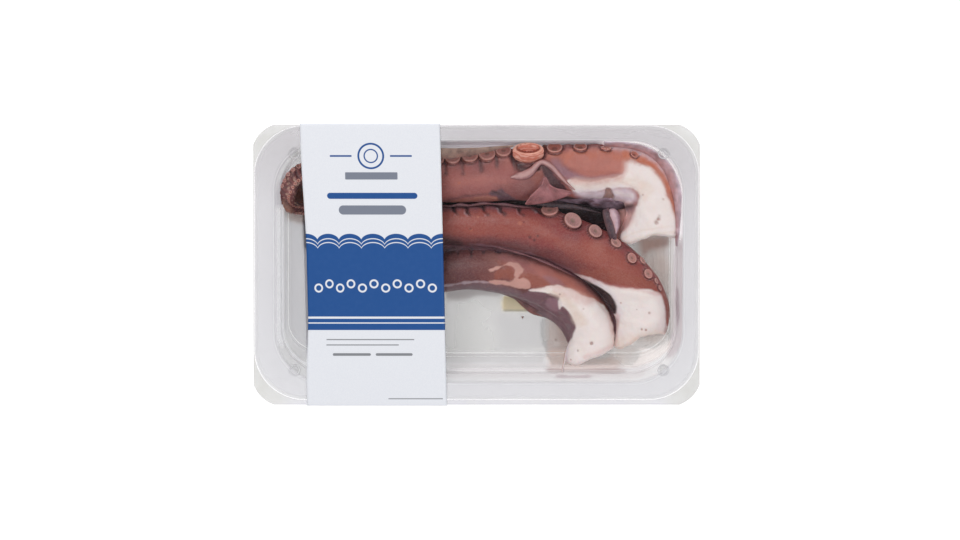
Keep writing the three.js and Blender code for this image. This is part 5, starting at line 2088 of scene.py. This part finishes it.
def build_top_arm(settings):
    arm = Arm("arm_top", ARM_TOP, 0.2, settings, settings.skin_top, 31)
    arm.spread(TOP_SPREAD)
    arm.trim(TOP_END, 3.0)
    arm.tuck_curl(1.8, 2.2)
    arm.prepare(TOP_ROW_START, TOP_HOLLOWS, (TOP_CREASES, 1.5, 1.5), TOP_PORES)
    arm.area([(500, 172), (560, 176), (556, 200), (470, 202), (450, 190)], "mauve", 8, 2, 0.3)
    # Painted shade along the arm's lower edge, and in the crease above the rolled edge
    arm.line([(440, 206), (470, 204), (500, 204)], 12, "plum", 5, 0.6, ragged=1.5)
    arm.line([(444, 202), (462, 197), (478, 194.5), (494, 193.5)], 2.0, "plum", 1.5, 0.75, ragged=0.8)
    arm.line([(452, 202.5), (468, 199.5), (484, 198.5), (502, 200)], 3.6, rgb(150, 92, 78), 1.3, 0.8,
        ragged=0.8)
    arm.line([(474, 198), (486, 196.6), (496, 198)], 1.2, rgb(190, 132, 112), 1.0, 0.7, ragged=0.6)
    # Painted sheen along the upper arm
    arm.line([(456, 184), (484, 178), (508, 184)], 8, "pink_skin_and_sheen", 5, 0.35, ragged=1.5)
    arm.area(TOP_PINK, "pink_skin_and_sheen", 3, 1.5, 0.95)
    arm.line([(550, 158), (572, 156), (600, 155), (626, 158)], 7, "orange", 3, 0.5, ragged=1.0)
    arm.area(TOP_RIM_SKIN, "orange", 1.5, 1.0, 0.9)
    arm.line([(636, 160), (652, 168), (664, 186), (672, 206)], 3, "brick", 2, 0.6, ragged=1.5)
    arm.line([(545, 145.5), (580, 145.5), (612, 146)], 4, rgb(150, 108, 108), 2, 0.7, ragged=1.2)
    # The rim's own lavender, painted lighter where its side turns away from the light
    arm.line([(608, 145), (636, 149), (654, 158), (667, 171), (675, 188), (679, 204), (681, 226)], 7.5,
        rgb(214, 184, 190), 3, 0.9, ragged=1.6)
    arm.line([(640, 158), (656, 167), (668, 184), (674, 202)], 1.2, "orange", 1.0, 0.7, ragged=1.5)
    arm.area(TOP_UNDERSIDE, "bruise", 3, 1.0, 0.85)
    arm.area(TOP_FLESH, "flesh", 1.2, 0.8, 1.0, flesh=1)
    arm.area([(572, 180), (600, 180), (622, 176), (640, 178), (652, 188), (646, 200), (630, 186),
        (600, 187), (575, 189)], "cream", 4, 1, 0.6)
    arm.line([(572, 181), (590, 183), (607, 180), (621, 177), (625, 170), (625, 162)], 5.5, "salmon", 2.6,
        0.75)
    arm.line([(630, 161), (650, 167), (662, 181), (668, 198), (677, 222)], 2.5, "salmon", 1.8, 0.5,
        ragged=0.8)
    arm.line([(622, 246), (640, 238), (654, 234), (674, 232)], 2.0, "cream", 1.5, 0.6)
    arm.line([(672, 192), (676, 208), (677.5, 222), (676, 233)], 3.0, "rust", 1.6, 0.6, ragged=1.2)
    arm.area(TOP_LILAC, "lilac_skin_and_highlight", 3.5, 1.0, 0.95)
    # Painted shade on the lower part of the lilac patch
    arm.line([(578, 198), (592, 202), (604, 205)], 5, "bruise", 3.5, 0.5)
    arm.line([(616, 192), (624, 195), (632, 196)], 3.0, "flesh", 2.5, 0.6)
    # Painted light: the sunk hollow is painted pale to lift its shade
    arm.area(TOP_HOLLOW, rgb(255, 208, 204), 4.5, 0.8, 0.95, flesh=0)
    # Painted shade below the lilac patch
    arm.line([(612, 210), (624, 210), (631, 209)], 6, "bruise", 4, 0.8, flesh=0)
    arm.area(TOP_NOTCH, "notch", 1.6, 0.5, 0.9, flesh=0)
    # Painted shade: dark band under the lilac shelf
    arm.line([(566, 199), (584, 202.5), (600, 206.5), (614, 207.5), (626, 207), (632, 206)], 3.5, "dark_web_and_shade",
        3.0, 0.95, flesh=0)
    arm.area(TOP_SHADE, "plum", 5.0, 1.0, 0.45)
    # Painted shade below the great sucker
    arm.area([(530, 174), (540, 168), (545, 170), (546, 180), (540, 186), (534, 182)], "rust", 3, 1, 0.55)
    arm.area([(586, 178), (620, 178), (620, 188), (586, 188)], "rust", 3, 1, 0.08)
    arm.area(TOP_FLAP, "mauve", 0.9, 0.6, 0.95)
    arm.area(TOP_DARK_WEB, "violet", 2.6, 0.9, 0.8)
    arm.area(TOP_DARK_WEB, "dark_web_and_shade", 2.0, 1.8, 0.75)
    arm.area(TOP_STRANDS, rgb(74, 64, 80), 1.6, 2.4, 0.8)
    arm.line([(492, 191), (500, 194), (508, 199), (522, 203)], 1.4, "dark_web_and_shade", 1.0, 0.8, ragged=1.2)
    # Painted sheen on the dark strands
    arm.line([(499, 190.5), (507, 195), (515, 199)], 1.2, "slate_and_glint", 0.9, 0.6, ragged=1.0)
    # Painted shade under the great sucker, in this fold and along its foot
    arm.area(TOP_FOLD, "dark_web_and_shade", 1.8, 0.8, 0.8)
    arm.line([(511, 157), (518, 164), (538, 164), (545, 157)], 4, "dark_web_and_shade", 2.0, 0.8)
    # Dark web and painted shade in the gap between the upper and middle arms
    arm.area(TOP_GAP, "dark_web_and_shade", 1.5, 0.6, 1.0, flesh=0)
    arm.dots(PALE_SPOTS, "orange", 0.4)
    arm.line([(655, 222), (658, 219), (659.5, 216)], 2.5, "notch", 1.6, 0.6, ragged=0.8)
    arm.dots(TOP_PORES, "rust", 0.6)
    arm.line([(622, 182), (636, 188), (641, 197), (638, 206)], 1.6, "notch", 1.6, 0.35, ragged=0.8)
    arm.line([(640, 205), (645, 196), (654, 190)], 1.4, "cream", 1.2, 0.6, ragged=0.6)
    arm.line([(620, 240), (636, 232), (655, 228), (672, 226)], 1.6, "cream", 1.6, 0.6, ragged=0.8)
    arm.shade_folds()
    for seat in TOP_SUCKERS:
        arm.sucker(*seat)
    # Painted shade in the creases between the suckers
    for crease in TOP_CREASES[:5]:
        arm.line(crease, 2.6, "dark_web_and_shade", 2.4, 0.65, ragged=1.6)
    # Painted shade below the row of suckers
    arm.line([(440, 168), (460, 166.5), (480, 165), (500, 163)], 6, "plum", 4, 0.35, ragged=1.5)
    arm.area(CURL, "plum", 4, 2, 0.5)
    # Painted shade inside the curl
    arm.line([(303, 178), (297, 188), (296, 198), (299, 206)], 5, "dark_web_and_shade", 2.5, 0.6)
    arm.row(arm.upper, CURL_ROWS[0], 0.3)
    curl = [seat for seat in arm.upper if arm.form.middle[arm.form.ring_at(seat[0]), 0] < -80]
    arm.row([(s + 0.6 * radius, 0.8 * radius) for s, radius in curl], CURL_ROWS[1], 0.8)
    # Flecks on the curl: pale ones as painted highlights and dark ones as painted shade of its small bumps
    draw = np.random.default_rng(17)
    for tone, strength in (("salmon", 0.55), ("dark_web_and_shade", 0.6), (rgb(206, 170, 150), 0.6)):
        limits = ((280, 304), (166, 216), (0.5, 1.1))
        spots = np.column_stack([draw.uniform(low, high, CURL_DOTS) for low, high in limits])
        arm.dots(spots, tone, strength)
    arm.row(arm.lower, LOW_ROW, 0.3)
    ridge = ribbon("top_ridge", arm, TOP_RIDGE, [2.6, 5.4, 5.6, 3.6, 2.6, 2.8, 3.0, 2.8, 2.2, 1.8], 0.9,
        RIDGE_TONES, 0.6)
    flap = ribbon("top_rolled_flap", arm, TOP_ROLL, [5.4, 5.4, 5.0, 4.6, 4.2], 2.2, ROLL_TONES,
        drape=[18, 20, 20, 19, 18], blunt=0.15)
    lip = ribbon(
        "top_rolled_edge", arm, TOP_ROLL_EDGE, [4.6, 6.2, 5.2, 3.4, 1.4], 1.4, ROLL_EDGE_TONES,
        drape=[19, 20.6, 20.6, 20.4, 19.5], blunt=0.25
    )
    tones = (settings.olive, rgb(116, 86, 78))
    webs = [
        membrane("top_wall_web", *WALL_WEB, [30.6, 30.6, 30.4], [30.2, 30.2, 30.4], tones),
        # Its pale end is painted lighter than the flesh as painted light against its shade
        membrane("top_hollow_web", *HOLLOW_WEB, [10, 10, 11, 13], [13, 14, 15, 15],
            (rgb(60, 30, 38), rgb(255, 186, 178)), bias=0.45),
        # Its dark end is the dark web with painted shade below the lilac shelf
        membrane(
            "top_lilac_web", *LILAC_WEB, [16, 16.5, 16, 16, 17], [12, 12, 12, 12, 12],
            (rgb(176, 150, 168), rgb(26, 8, 18)), bias=0.75, dark=True,
        ),
        membrane("top_rim_web", *RIM_WEB, RIM_HEIGHTS, INNER_HEIGHTS,
            (rgb(204, 188, 202), rgb(170, 122, 124)), bias=0.9),
        membrane("curl_skirt", *CURL_SKIRT, [20.6, 20.6, 20.4, 20], [22.6, 21.6, 19.4, 17],
            (rgb(150, 112, 98), rgb(96, 64, 60)), steps=(50, 12)),
        membrane("top_flap_web", *FLAP_WEB, FLAP_HEIGHTS, [21.5, 25],
            (rgb(170, 112, 116), rgb(132, 80, 86)), 0.4),
        membrane("curl_web", *CURL_WEB, [8, 8, 5], [8, 8, 5], (rgb(88, 62, 54), rgb(84, 64, 54)),
            steps=(30, 10)),
        build_great_sucker(great_sucker_material(settings.sucker_warm)),
    ]
    arm.finish([ridge, flap, lip, *webs])
    return arm


def build_middle_arm(settings, top):
    arm = Arm("arm_middle", ARM_MIDDLE, 0.28, settings, settings.skin_middle, 71)
    arm.trim(MIDDLE_END)
    arm.prepare(MIDDLE_ROW_START, MIDDLE_HOLLOWS, (MIDDLE_CREASES, 1.3, 1.5), MIDDLE_PORES, [top])
    arm.line([(440, 208), (480, 206), (520, 205), (548, 203)], 9, "violet", 4, 0.75, ragged=1.5)
    # Painted shade along the lower side, in the valley to the lower arm
    arm.line([(440, 240), (480, 244), (515, 246), (545, 256), (576, 270)], 13, "plum", 6, 0.8, ragged=1.5)
    arm.line([(470, 244), (500, 247), (530, 253), (550, 260), (574, 272)], 1.8, "bruise", 1.0, 0.8,
        ragged=0.6)
    arm.area([(438, 238), (454, 239), (462, 243), (456, 250), (438, 252)], "dark_web_and_shade", 2.5, 1.5, 0.7)
    arm.area([(555, 240), (600, 244), (640, 270), (655, 288), (610, 282), (570, 262)], "brick", 7, 2, 0.55)
    arm.line([(545, 254), (566, 258), (590, 270), (604, 278)], 12, rgb(112, 46, 50), 6, 0.65, ragged=1.5)
    arm.area([(440, 215), (500, 212), (540, 222), (560, 240), (520, 236), (440, 232)], "brick", 6, 2, 0.45)
    arm.area(MIDDLE_RUST, "rust", 2.5, 1.2, 0.6)
    arm.area(MIDDLE_FLESH, "flesh", 1.1, 0.8, 1.0, flesh=1)
    arm.line([(580, 277), (610, 286), (640, 290), (662, 295)], 3, "rose_and_highlight", 2.0, 0.5)
    arm.area(MIDDLE_LILAC, "lilac_skin_and_highlight", 2.5, 0.8, 0.5)
    arm.line([(663, 292), (668, 306), (668.5, 322), (667, 334)], 4.5, "rust", 1.4, 0.75, ragged=0.8)
    arm.line([(618, 316), (616, 330), (617, 344)], 4, "rose_and_highlight", 2.0, 0.6, ragged=0.8)
    arm.line([(616, 352), (632, 343), (642, 337), (664, 336)], 3.5, "salmon", 2.0, 0.5, ragged=0.8)
    arm.area([(616, 340), (640, 334), (664, 330), (664, 340), (640, 346), (616, 356)], "cream", 4, 1.5, 0.7)
    # Dark web in the gap to the lower arm, darkened as painted shade
    arm.area(MIDDLE_GAP, "dark_web_and_shade", 1.0, 0.5, 1.0, flesh=0)
    arm.dots(PALE_SPOTS, "orange", 0.4)
    arm.dots(DARK_SPOTS, "dark_web_and_shade", 0.5)
    arm.dots(MIDDLE_PORES, "rust", 0.85)
    arm.shade_folds()
    for seat in MIDDLE_SUCKERS:
        arm.sucker(*seat, fringe=True)
    # Painted shade in the creases, with a painted highlight beside each
    for crease in MIDDLE_CREASES:
        edge = [(x - 2.6, y + 1) for x, y in crease]
        arm.line(crease, 2.4, "dark_web_and_shade", 2.0, 0.8, ragged=2.2)
        arm.line(edge[1:], 0.8, "lilac_skin_and_highlight", 1.1, 0.3, ragged=1.1)
    arm.row(arm.upper, BED[0], 0.2)
    arm.row(arm.lower, LOW_ROW, 0.2)
    arm.finish()
    return arm


def build_bottom_arm(settings, middle):
    arm = Arm("arm_bottom", ARM_BOTTOM, 0.33, settings, settings.skin_bottom, 111)
    arm.trim(BOTTOM_END, 2.2)
    arm.prepare(BOTTOM_ROW_START, BOTTOM_HOLLOWS, (BOTTOM_CREASES, 1.2, 1.4), BOTTOM_PORES, [middle])
    # Painted shade along the upper edge, in the gap to the middle arm
    arm.line([(440, 247), (480, 247), (515, 252), (545, 263), (580, 284), (606, 308)], 6, "plum", 2.5, 0.8)
    arm.area([(500, 262), (545, 268), (585, 290), (606, 308), (590, 300), (560, 288), (530, 286)], "brick",
        4, 1.5, 0.6)
    arm.area([(550, 270), (580, 284), (606, 306), (612, 322), (600, 306), (572, 292)], "pink_skin_and_sheen", 3, 1.2, 0.45)
    arm.area(BOTTOM_SLATE, "slate_and_glint", 2.5, 1.2, 0.9)
    arm.line([(440, 287), (462, 283), (480, 281.5), (500, 284)], 1.8, "lilac_skin_and_highlight", 1.0, 0.5, ragged=0.8)
    arm.area([(470, 262), (510, 258), (560, 272), (556, 284), (520, 286), (480, 280)], "brick", 7, 2, 0.25)
    arm.area([(500, 256), (530, 260), (556, 270), (552, 278), (528, 272), (505, 264)], "mauve", 5, 2, 0.6)
    arm.area([(528, 262), (548, 266), (566, 274), (580, 284), (560, 282), (540, 276)], "pink_skin_and_sheen", 5, 1.5, 0.55)
    arm.area([(544, 277), (558, 279), (566, 286), (552, 285)], "bruise", 2.5, 1, 0.5)
    arm.area([(438, 243), (450, 244), (456, 249), (450, 257), (443, 266), (438, 266)], "dark_web_and_shade", 2, 2.5, 0.6)
    arm.dots([(449, 251, 2.6), (445, 259, 2), (455, 248, 1.6)], "dark_web_and_shade", 0.7)
    # Painted glints on the dark web
    arm.dots([(452, 249.5, 1.2), (447, 246.5, 1)], "slate_and_glint", 0.8)
    arm.area([(556, 288), (582, 288), (586, 300), (560, 302)], "rust", 4, 1, 0.08)
    arm.area([(436, 256), (470, 254), (492, 262), (486, 276), (436, 280)], rgb(94, 46, 52), 6, 2, 0.5)
    arm.area(BOTTOM_RUST, "rust", 1.5, 1.0, 0.75)
    arm.area(BOTTOM_SALMON, "salmon", 0.7, 1.0, 0.95)
    arm.area(BOTTOM_SALMON_LOW, "salmon", 0.7, 1.0, 0.95)
    arm.area(BOTTOM_RUST_RIGHT, "rust", 2.0, 1.0, 0.7)
    arm.area(BOTTOM_WEB, "violet", 1.2, 0.8, 0.95)
    arm.area(BOTTOM_LILAC, "bruise", 1.6, 0.6, 0.7)
    arm.area(BOTTOM_FLESH, "flesh", 1.0, 0.8, 1.0, flesh=1)
    arm.area([(545, 289), (566, 294), (580, 312), (588, 324), (576, 326), (570, 311), (560, 300)], "cream",
        3, 1.0, 0.8)
    arm.line([(533, 290), (556, 286), (576, 291), (596, 301), (608, 314), (613, 334)], 2.2, "salmon", 1.8,
        0.5)
    arm.area([(552, 287), (576, 290), (594, 301), (586, 306), (572, 300), (560, 296)], "salmon", 3.5, 1,
        0.5)
    arm.line([(568, 340), (567, 352), (566, 362)], 3, "lilac_skin_and_highlight", 1.2, 0.6)
    arm.line([(585, 357), (600, 352), (612, 346)], 4, "rose_and_highlight", 2.0, 0.35)
    arm.dots([(567.7, 327, 3.4)], "slate_and_glint", 0.8)
    arm.dots(BOTTOM_PORES, "notch", 0.95)
    arm.shade_folds()
    # Painted shade in the creases and along the crease to the middle arm
    for crease in BOTTOM_CREASES:
        arm.line(crease, 2.2, "dark_web_and_shade", 1.2, 0.85, ragged=0.8)
    arm.line([(436, 252), (452, 249), (468, 247.5), (484, 247), (500, 250.5), (516, 254)], 1.6, "dark_web_and_shade",
        1.2, 0.7, ragged=0.9)
    arm.row(arm.upper, BED[0], 0.2)
    arm.row(arm.lower, LOW_ROW, 0.2)
    fringe = membrane(
        "web_fringe", WEB_FRINGE[0], WEB_FRINGE[1], [9, 10, 10, 10, 9], [5, 4.5, 4, 4.5, 5],
        (settings.violet, settings.slate_and_glint),
    )
    scrap = membrane(
        "web_scrap", WEB_SCRAP[0], WEB_SCRAP[1], [6, 6, 6], [3, 2.5, 2.5],
        (settings.plum, settings.rust_shade), steps=(50, 10)
    )
    tones = (settings.salmon, settings.flesh, settings.lilac_skin_and_highlight)
    strand = ribbon("wet_strand", None, WET_STRAND, [1.6, 1.2, 0.8, 0.7, 1.4], 0.5, tones,
        drape=[11, 13.2, 16, 18.8, 20.8])
    arm.finish([fringe, scrap, strand])


def build_webs(settings):
    """Dark webs that close the gaps between one arm and the next, as web skin and as painted shade in the
    gaps.
    """
    dark_web_and_shade, plum, violet = settings.dark_web_and_shade, settings.plum, settings.violet
    first = membrane(
        "web_top_middle", *WEB_TOP, [9, 9, 8, 8, 7, 7], [9, 9, 8, 5, 4, 4],
        (rgb(24, 6, 15), rgb(38, 6, 10)), 1.0, dark=True
    )
    second = membrane(
        "web_middle_bottom", *WEB_MIDDLE, [14, 15, 15, 13, 15], [13, 14, 14, 12, 15],
        (rgb(96, 50, 60), rgb(72, 34, 42)), 0.8, dark=True,
    )
    # Strands of web whose lighter middle tone is a painted sheen
    strands = ribbon(
        "web_strands", None, WEB_STRANDS, [0.8, 3.4, 3.8, 2.0, 0.6], 0.6, (dark_web_and_shade, rgb(58, 54, 66), dark_web_and_shade),
        drape=[14, 12, 12, 12],
    )
    edge = ribbon(
        "web_edge", None, WEB_EDGE, [0.4, 1.2, 0.5, 1.3, 0.6, 1.5, 1.0, 0.6], 0.4,
        (plum, rgb(124, 80, 90), plum), drape=[19, 19, 19, 19.5, 20],
    )
    fold = ribbon(
        "web_fold", None, WEB_FOLD, [1.8, 1.0, 2.2, 1.0, 1.8, 0.9, 2.2, 1.4, 0.8], 0.8,
        (rgb(72, 42, 50), rgb(98, 60, 68), violet), drape=[16.5, 16.5, 16.5, 16.5],
    )
    for node, pieces in (("arm_top", (first, strands)), ("arm_middle", (second, edge, fold))):
        for made in pieces:
            place(made, "octopus", node)


SCRAP_RINGS = 4
SCRAP_SIDES = 9


def build_scraps():
    """Small specks and scraps that lie on the floor of the tray."""
    rows = []
    faces = []
    for k, (x, y, radius) in enumerate(SCRAPS):
        middle = np.array(under_view((x, y), FLOOR_TOP + 0.45))
        start = len(rows)
        rings, sides = SCRAP_RINGS, SCRAP_SIDES
        rows.append(middle + (0, 0, 0.5 * radius))
        for i in range(1, rings):
            lean = math.pi * i / rings
            for j in range(sides):
                turn = 2 * math.pi * j / sides
                reach = radius * VIEW_SCALE * (1 + 0.35 * math.sin(3 * turn + k))
                wide = math.sin(lean) * reach
                rows.append(middle + (math.cos(turn) * wide, math.sin(turn) * wide, 0.3 * math.cos(lean)))
        rows.append(middle - (0, 0, 0.3))
        for j in range(sides):
            after = (j + 1) % sides
            faces.append((start, start + 1 + j, start + 1 + after))
            for i in range(rings - 2):
                a, b = start + 1 + i * sides + j, start + 1 + i * sides + after
                faces.append((a, a + sides, b + sides, b))
            low = start + 1 + (rings - 2) * sides
            faces.append((low + j, len(rows) - 1, low + after))
    made = mesh_object("scraps", np.array(rows), faces, scrap_material())
    turn_outwards(made)
    place(made, "octopus")


# --- Stage ------------------------------------------------------------------------------------------


FLOOR_GLOW = 0.6
WORLD_LIGHT = 0.45
# Where each light hangs, how wide it is and how strong
LIGHTS = {"Key light": ((-0.5, 0.7, 1.3), 1.2, 10), "Fill light": ((0.8, -0.4, 1.2), 1.3, 4.5)}


def area_light(name, place_at, size, power):
    """A soft round light that is aimed at the pack."""
    data = bpy.data.lights.new(name, "AREA")
    data.shape = "DISK"
    data.size = size
    data.energy = power
    made = bpy.data.objects.new(name, data)
    made.location = place_at
    made.rotation_euler = (-Vector(place_at)).to_track_quat("-Z", "Y").to_euler()
    made.visible_camera = False
    bpy.context.scene.collection.objects.link(made)


def build_stage():
    """A pale floor that glows a little, a soft sky and two lights."""
    look = Look("Pale floor")
    tone = look.mix(look.between(look.noise(60), 0.3, 0.7), rgb(216, 216, 216), rgb(220, 220, 220))
    look.set(Base_Color=tone, Roughness=0.9, Emission_Strength=FLOOR_GLOW)
    look.shader.inputs["Emission Color"].default_value = (1, 1, 1, 1)
    bpy.ops.mesh.primitive_plane_add(size=6.0)
    floor = bpy.context.object
    floor.name = "stage_floor"
    floor.data.materials.append(look.material)
    scene = bpy.context.scene
    scene.view_settings.view_transform = "Standard"
    world = bpy.data.worlds.new("Soft studio")
    world.use_nodes = True
    background = world.node_tree.nodes["Background"]
    background.inputs["Color"].default_value = (1, 1, 1, 1)
    background.inputs["Strength"].default_value = WORLD_LIGHT
    scene.world = world
    for name, values in LIGHTS.items():
        area_light(name, *values)


def build_camera():
    """The camera of the view in which the marks on the food are given."""
    data = bpy.data.cameras.new("Camera")
    data.sensor_width = SENSOR_WIDTH
    data.lens = SENSOR_WIDTH * CAMERA_DISTANCE / (VIEW_SIZE[0] * VIEW_SCALE * MM)
    data.clip_start = 1.0
    data.clip_end = 2 * CAMERA_DISTANCE
    made = bpy.data.objects.new("Camera", data)
    across = (VIEW_SIZE[0] / 2 - VIEW_MIDDLE[0]) * VIEW_SCALE * MM
    down = (VIEW_SIZE[1] / 2 - VIEW_MIDDLE[1]) * VIEW_SCALE * MM
    up = Vector((0, math.cos(CAMERA_LEAN), -math.sin(CAMERA_LEAN)))
    aim = Vector((across, 0, FLANGE_TOP * MM)) - up * down
    made.location = aim + Vector(TO_VIEW) * CAMERA_DISTANCE
    made.rotation_euler = (-CAMERA_LEAN, 0, 0)
    bpy.context.scene.collection.objects.link(made)
    bpy.context.scene.camera = made


# --- Operators --------------------------------------------------------------------------------------


class PackTray(bpy.types.Operator):
    """Builds the clear tray"""

    bl_idname = "octopus_pack.tray"
    bl_label = "Tray"

    def execute(self, context):
        build_tray(context.scene.pack_tray)
        return {"FINISHED"}


class PackFilm(bpy.types.Operator):
    """Builds the lid film"""

    bl_idname = "octopus_pack.film"
    bl_label = "Lid film"

    def execute(self, context):
        build_film(context.scene.pack_tray)
        return {"FINISHED"}


class PackSticker(bpy.types.Operator):
    """Builds the pale sticker under the floor"""

    bl_idname = "octopus_pack.sticker"
    bl_label = "Sticker"

    def execute(self, context):
        build_sticker(context.scene.pack_tray)
        return {"FINISHED"}


class PackJuice(bpy.types.Operator):
    """Builds the cooking juice and the scraps on the floor"""

    bl_idname = "octopus_pack.juice"
    bl_label = "Juice and scraps"

    def execute(self, context):
        build_juice(context.scene.pack_tray)
        build_scraps()
        return {"FINISHED"}


class PackArms(bpy.types.Operator):
    """Builds the three arms with their suckers and webs"""

    bl_idname = "octopus_pack.arms"
    bl_label = "Octopus arms"

    def execute(self, context):
        settings = context.scene.pack_octopus
        top = build_top_arm(settings)
        middle = build_middle_arm(settings, top)
        build_bottom_arm(settings, middle)
        build_webs(settings)
        return {"FINISHED"}


class PackSleeve(bpy.types.Operator):
    """Builds the printed card sleeve"""

    bl_idname = "octopus_pack.sleeve"
    bl_label = "Card sleeve"

    def execute(self, context):
        build_sleeve(context.scene.pack_sleeve)
        return {"FINISHED"}


class PackStage(bpy.types.Operator):
    """Sets up the floor, the lights and the camera"""

    bl_idname = "octopus_pack.stage"
    bl_label = "Stage"

    def execute(self, context):
        build_stage()
        build_camera()
        return {"FINISHED"}


class PackPanel(bpy.types.Panel):
    """Lists the pieces of the pack"""

    bl_idname = "VIEW3D_PT_octopus_pack"
    bl_label = "Octopus Pack"
    bl_space_type = "VIEW_3D"
    bl_region_type = "UI"
    bl_category = "Octopus Pack"

    def draw(self, context):
        for step in STEPS:
            self.layout.operator(step.bl_idname)


STEPS = (PackStage, PackTray, PackSticker, PackJuice, PackArms, PackFilm, PackSleeve)
SETTINGS = {
    "pack_tray": PackTraySettings, "pack_sleeve": PackSleeveSettings, "pack_octopus": PackOctopusSettings,
}


def register():
    for kind in (*SETTINGS.values(), *STEPS, PackPanel):
        bpy.utils.register_class(kind)
    for name, kind in SETTINGS.items():
        setattr(bpy.types.Scene, name, bpy.props.PointerProperty(type=kind))


def unregister():
    for name in SETTINGS:
        delattr(bpy.types.Scene, name)
    for kind in reversed((*SETTINGS.values(), *STEPS, PackPanel)):
        bpy.utils.unregister_class(kind)


def main():
    register()
    for step in STEPS:
        group, name = step.bl_idname.split(".")
        getattr(getattr(bpy.ops, group), name)()


if __name__ == "__main__":
    main()
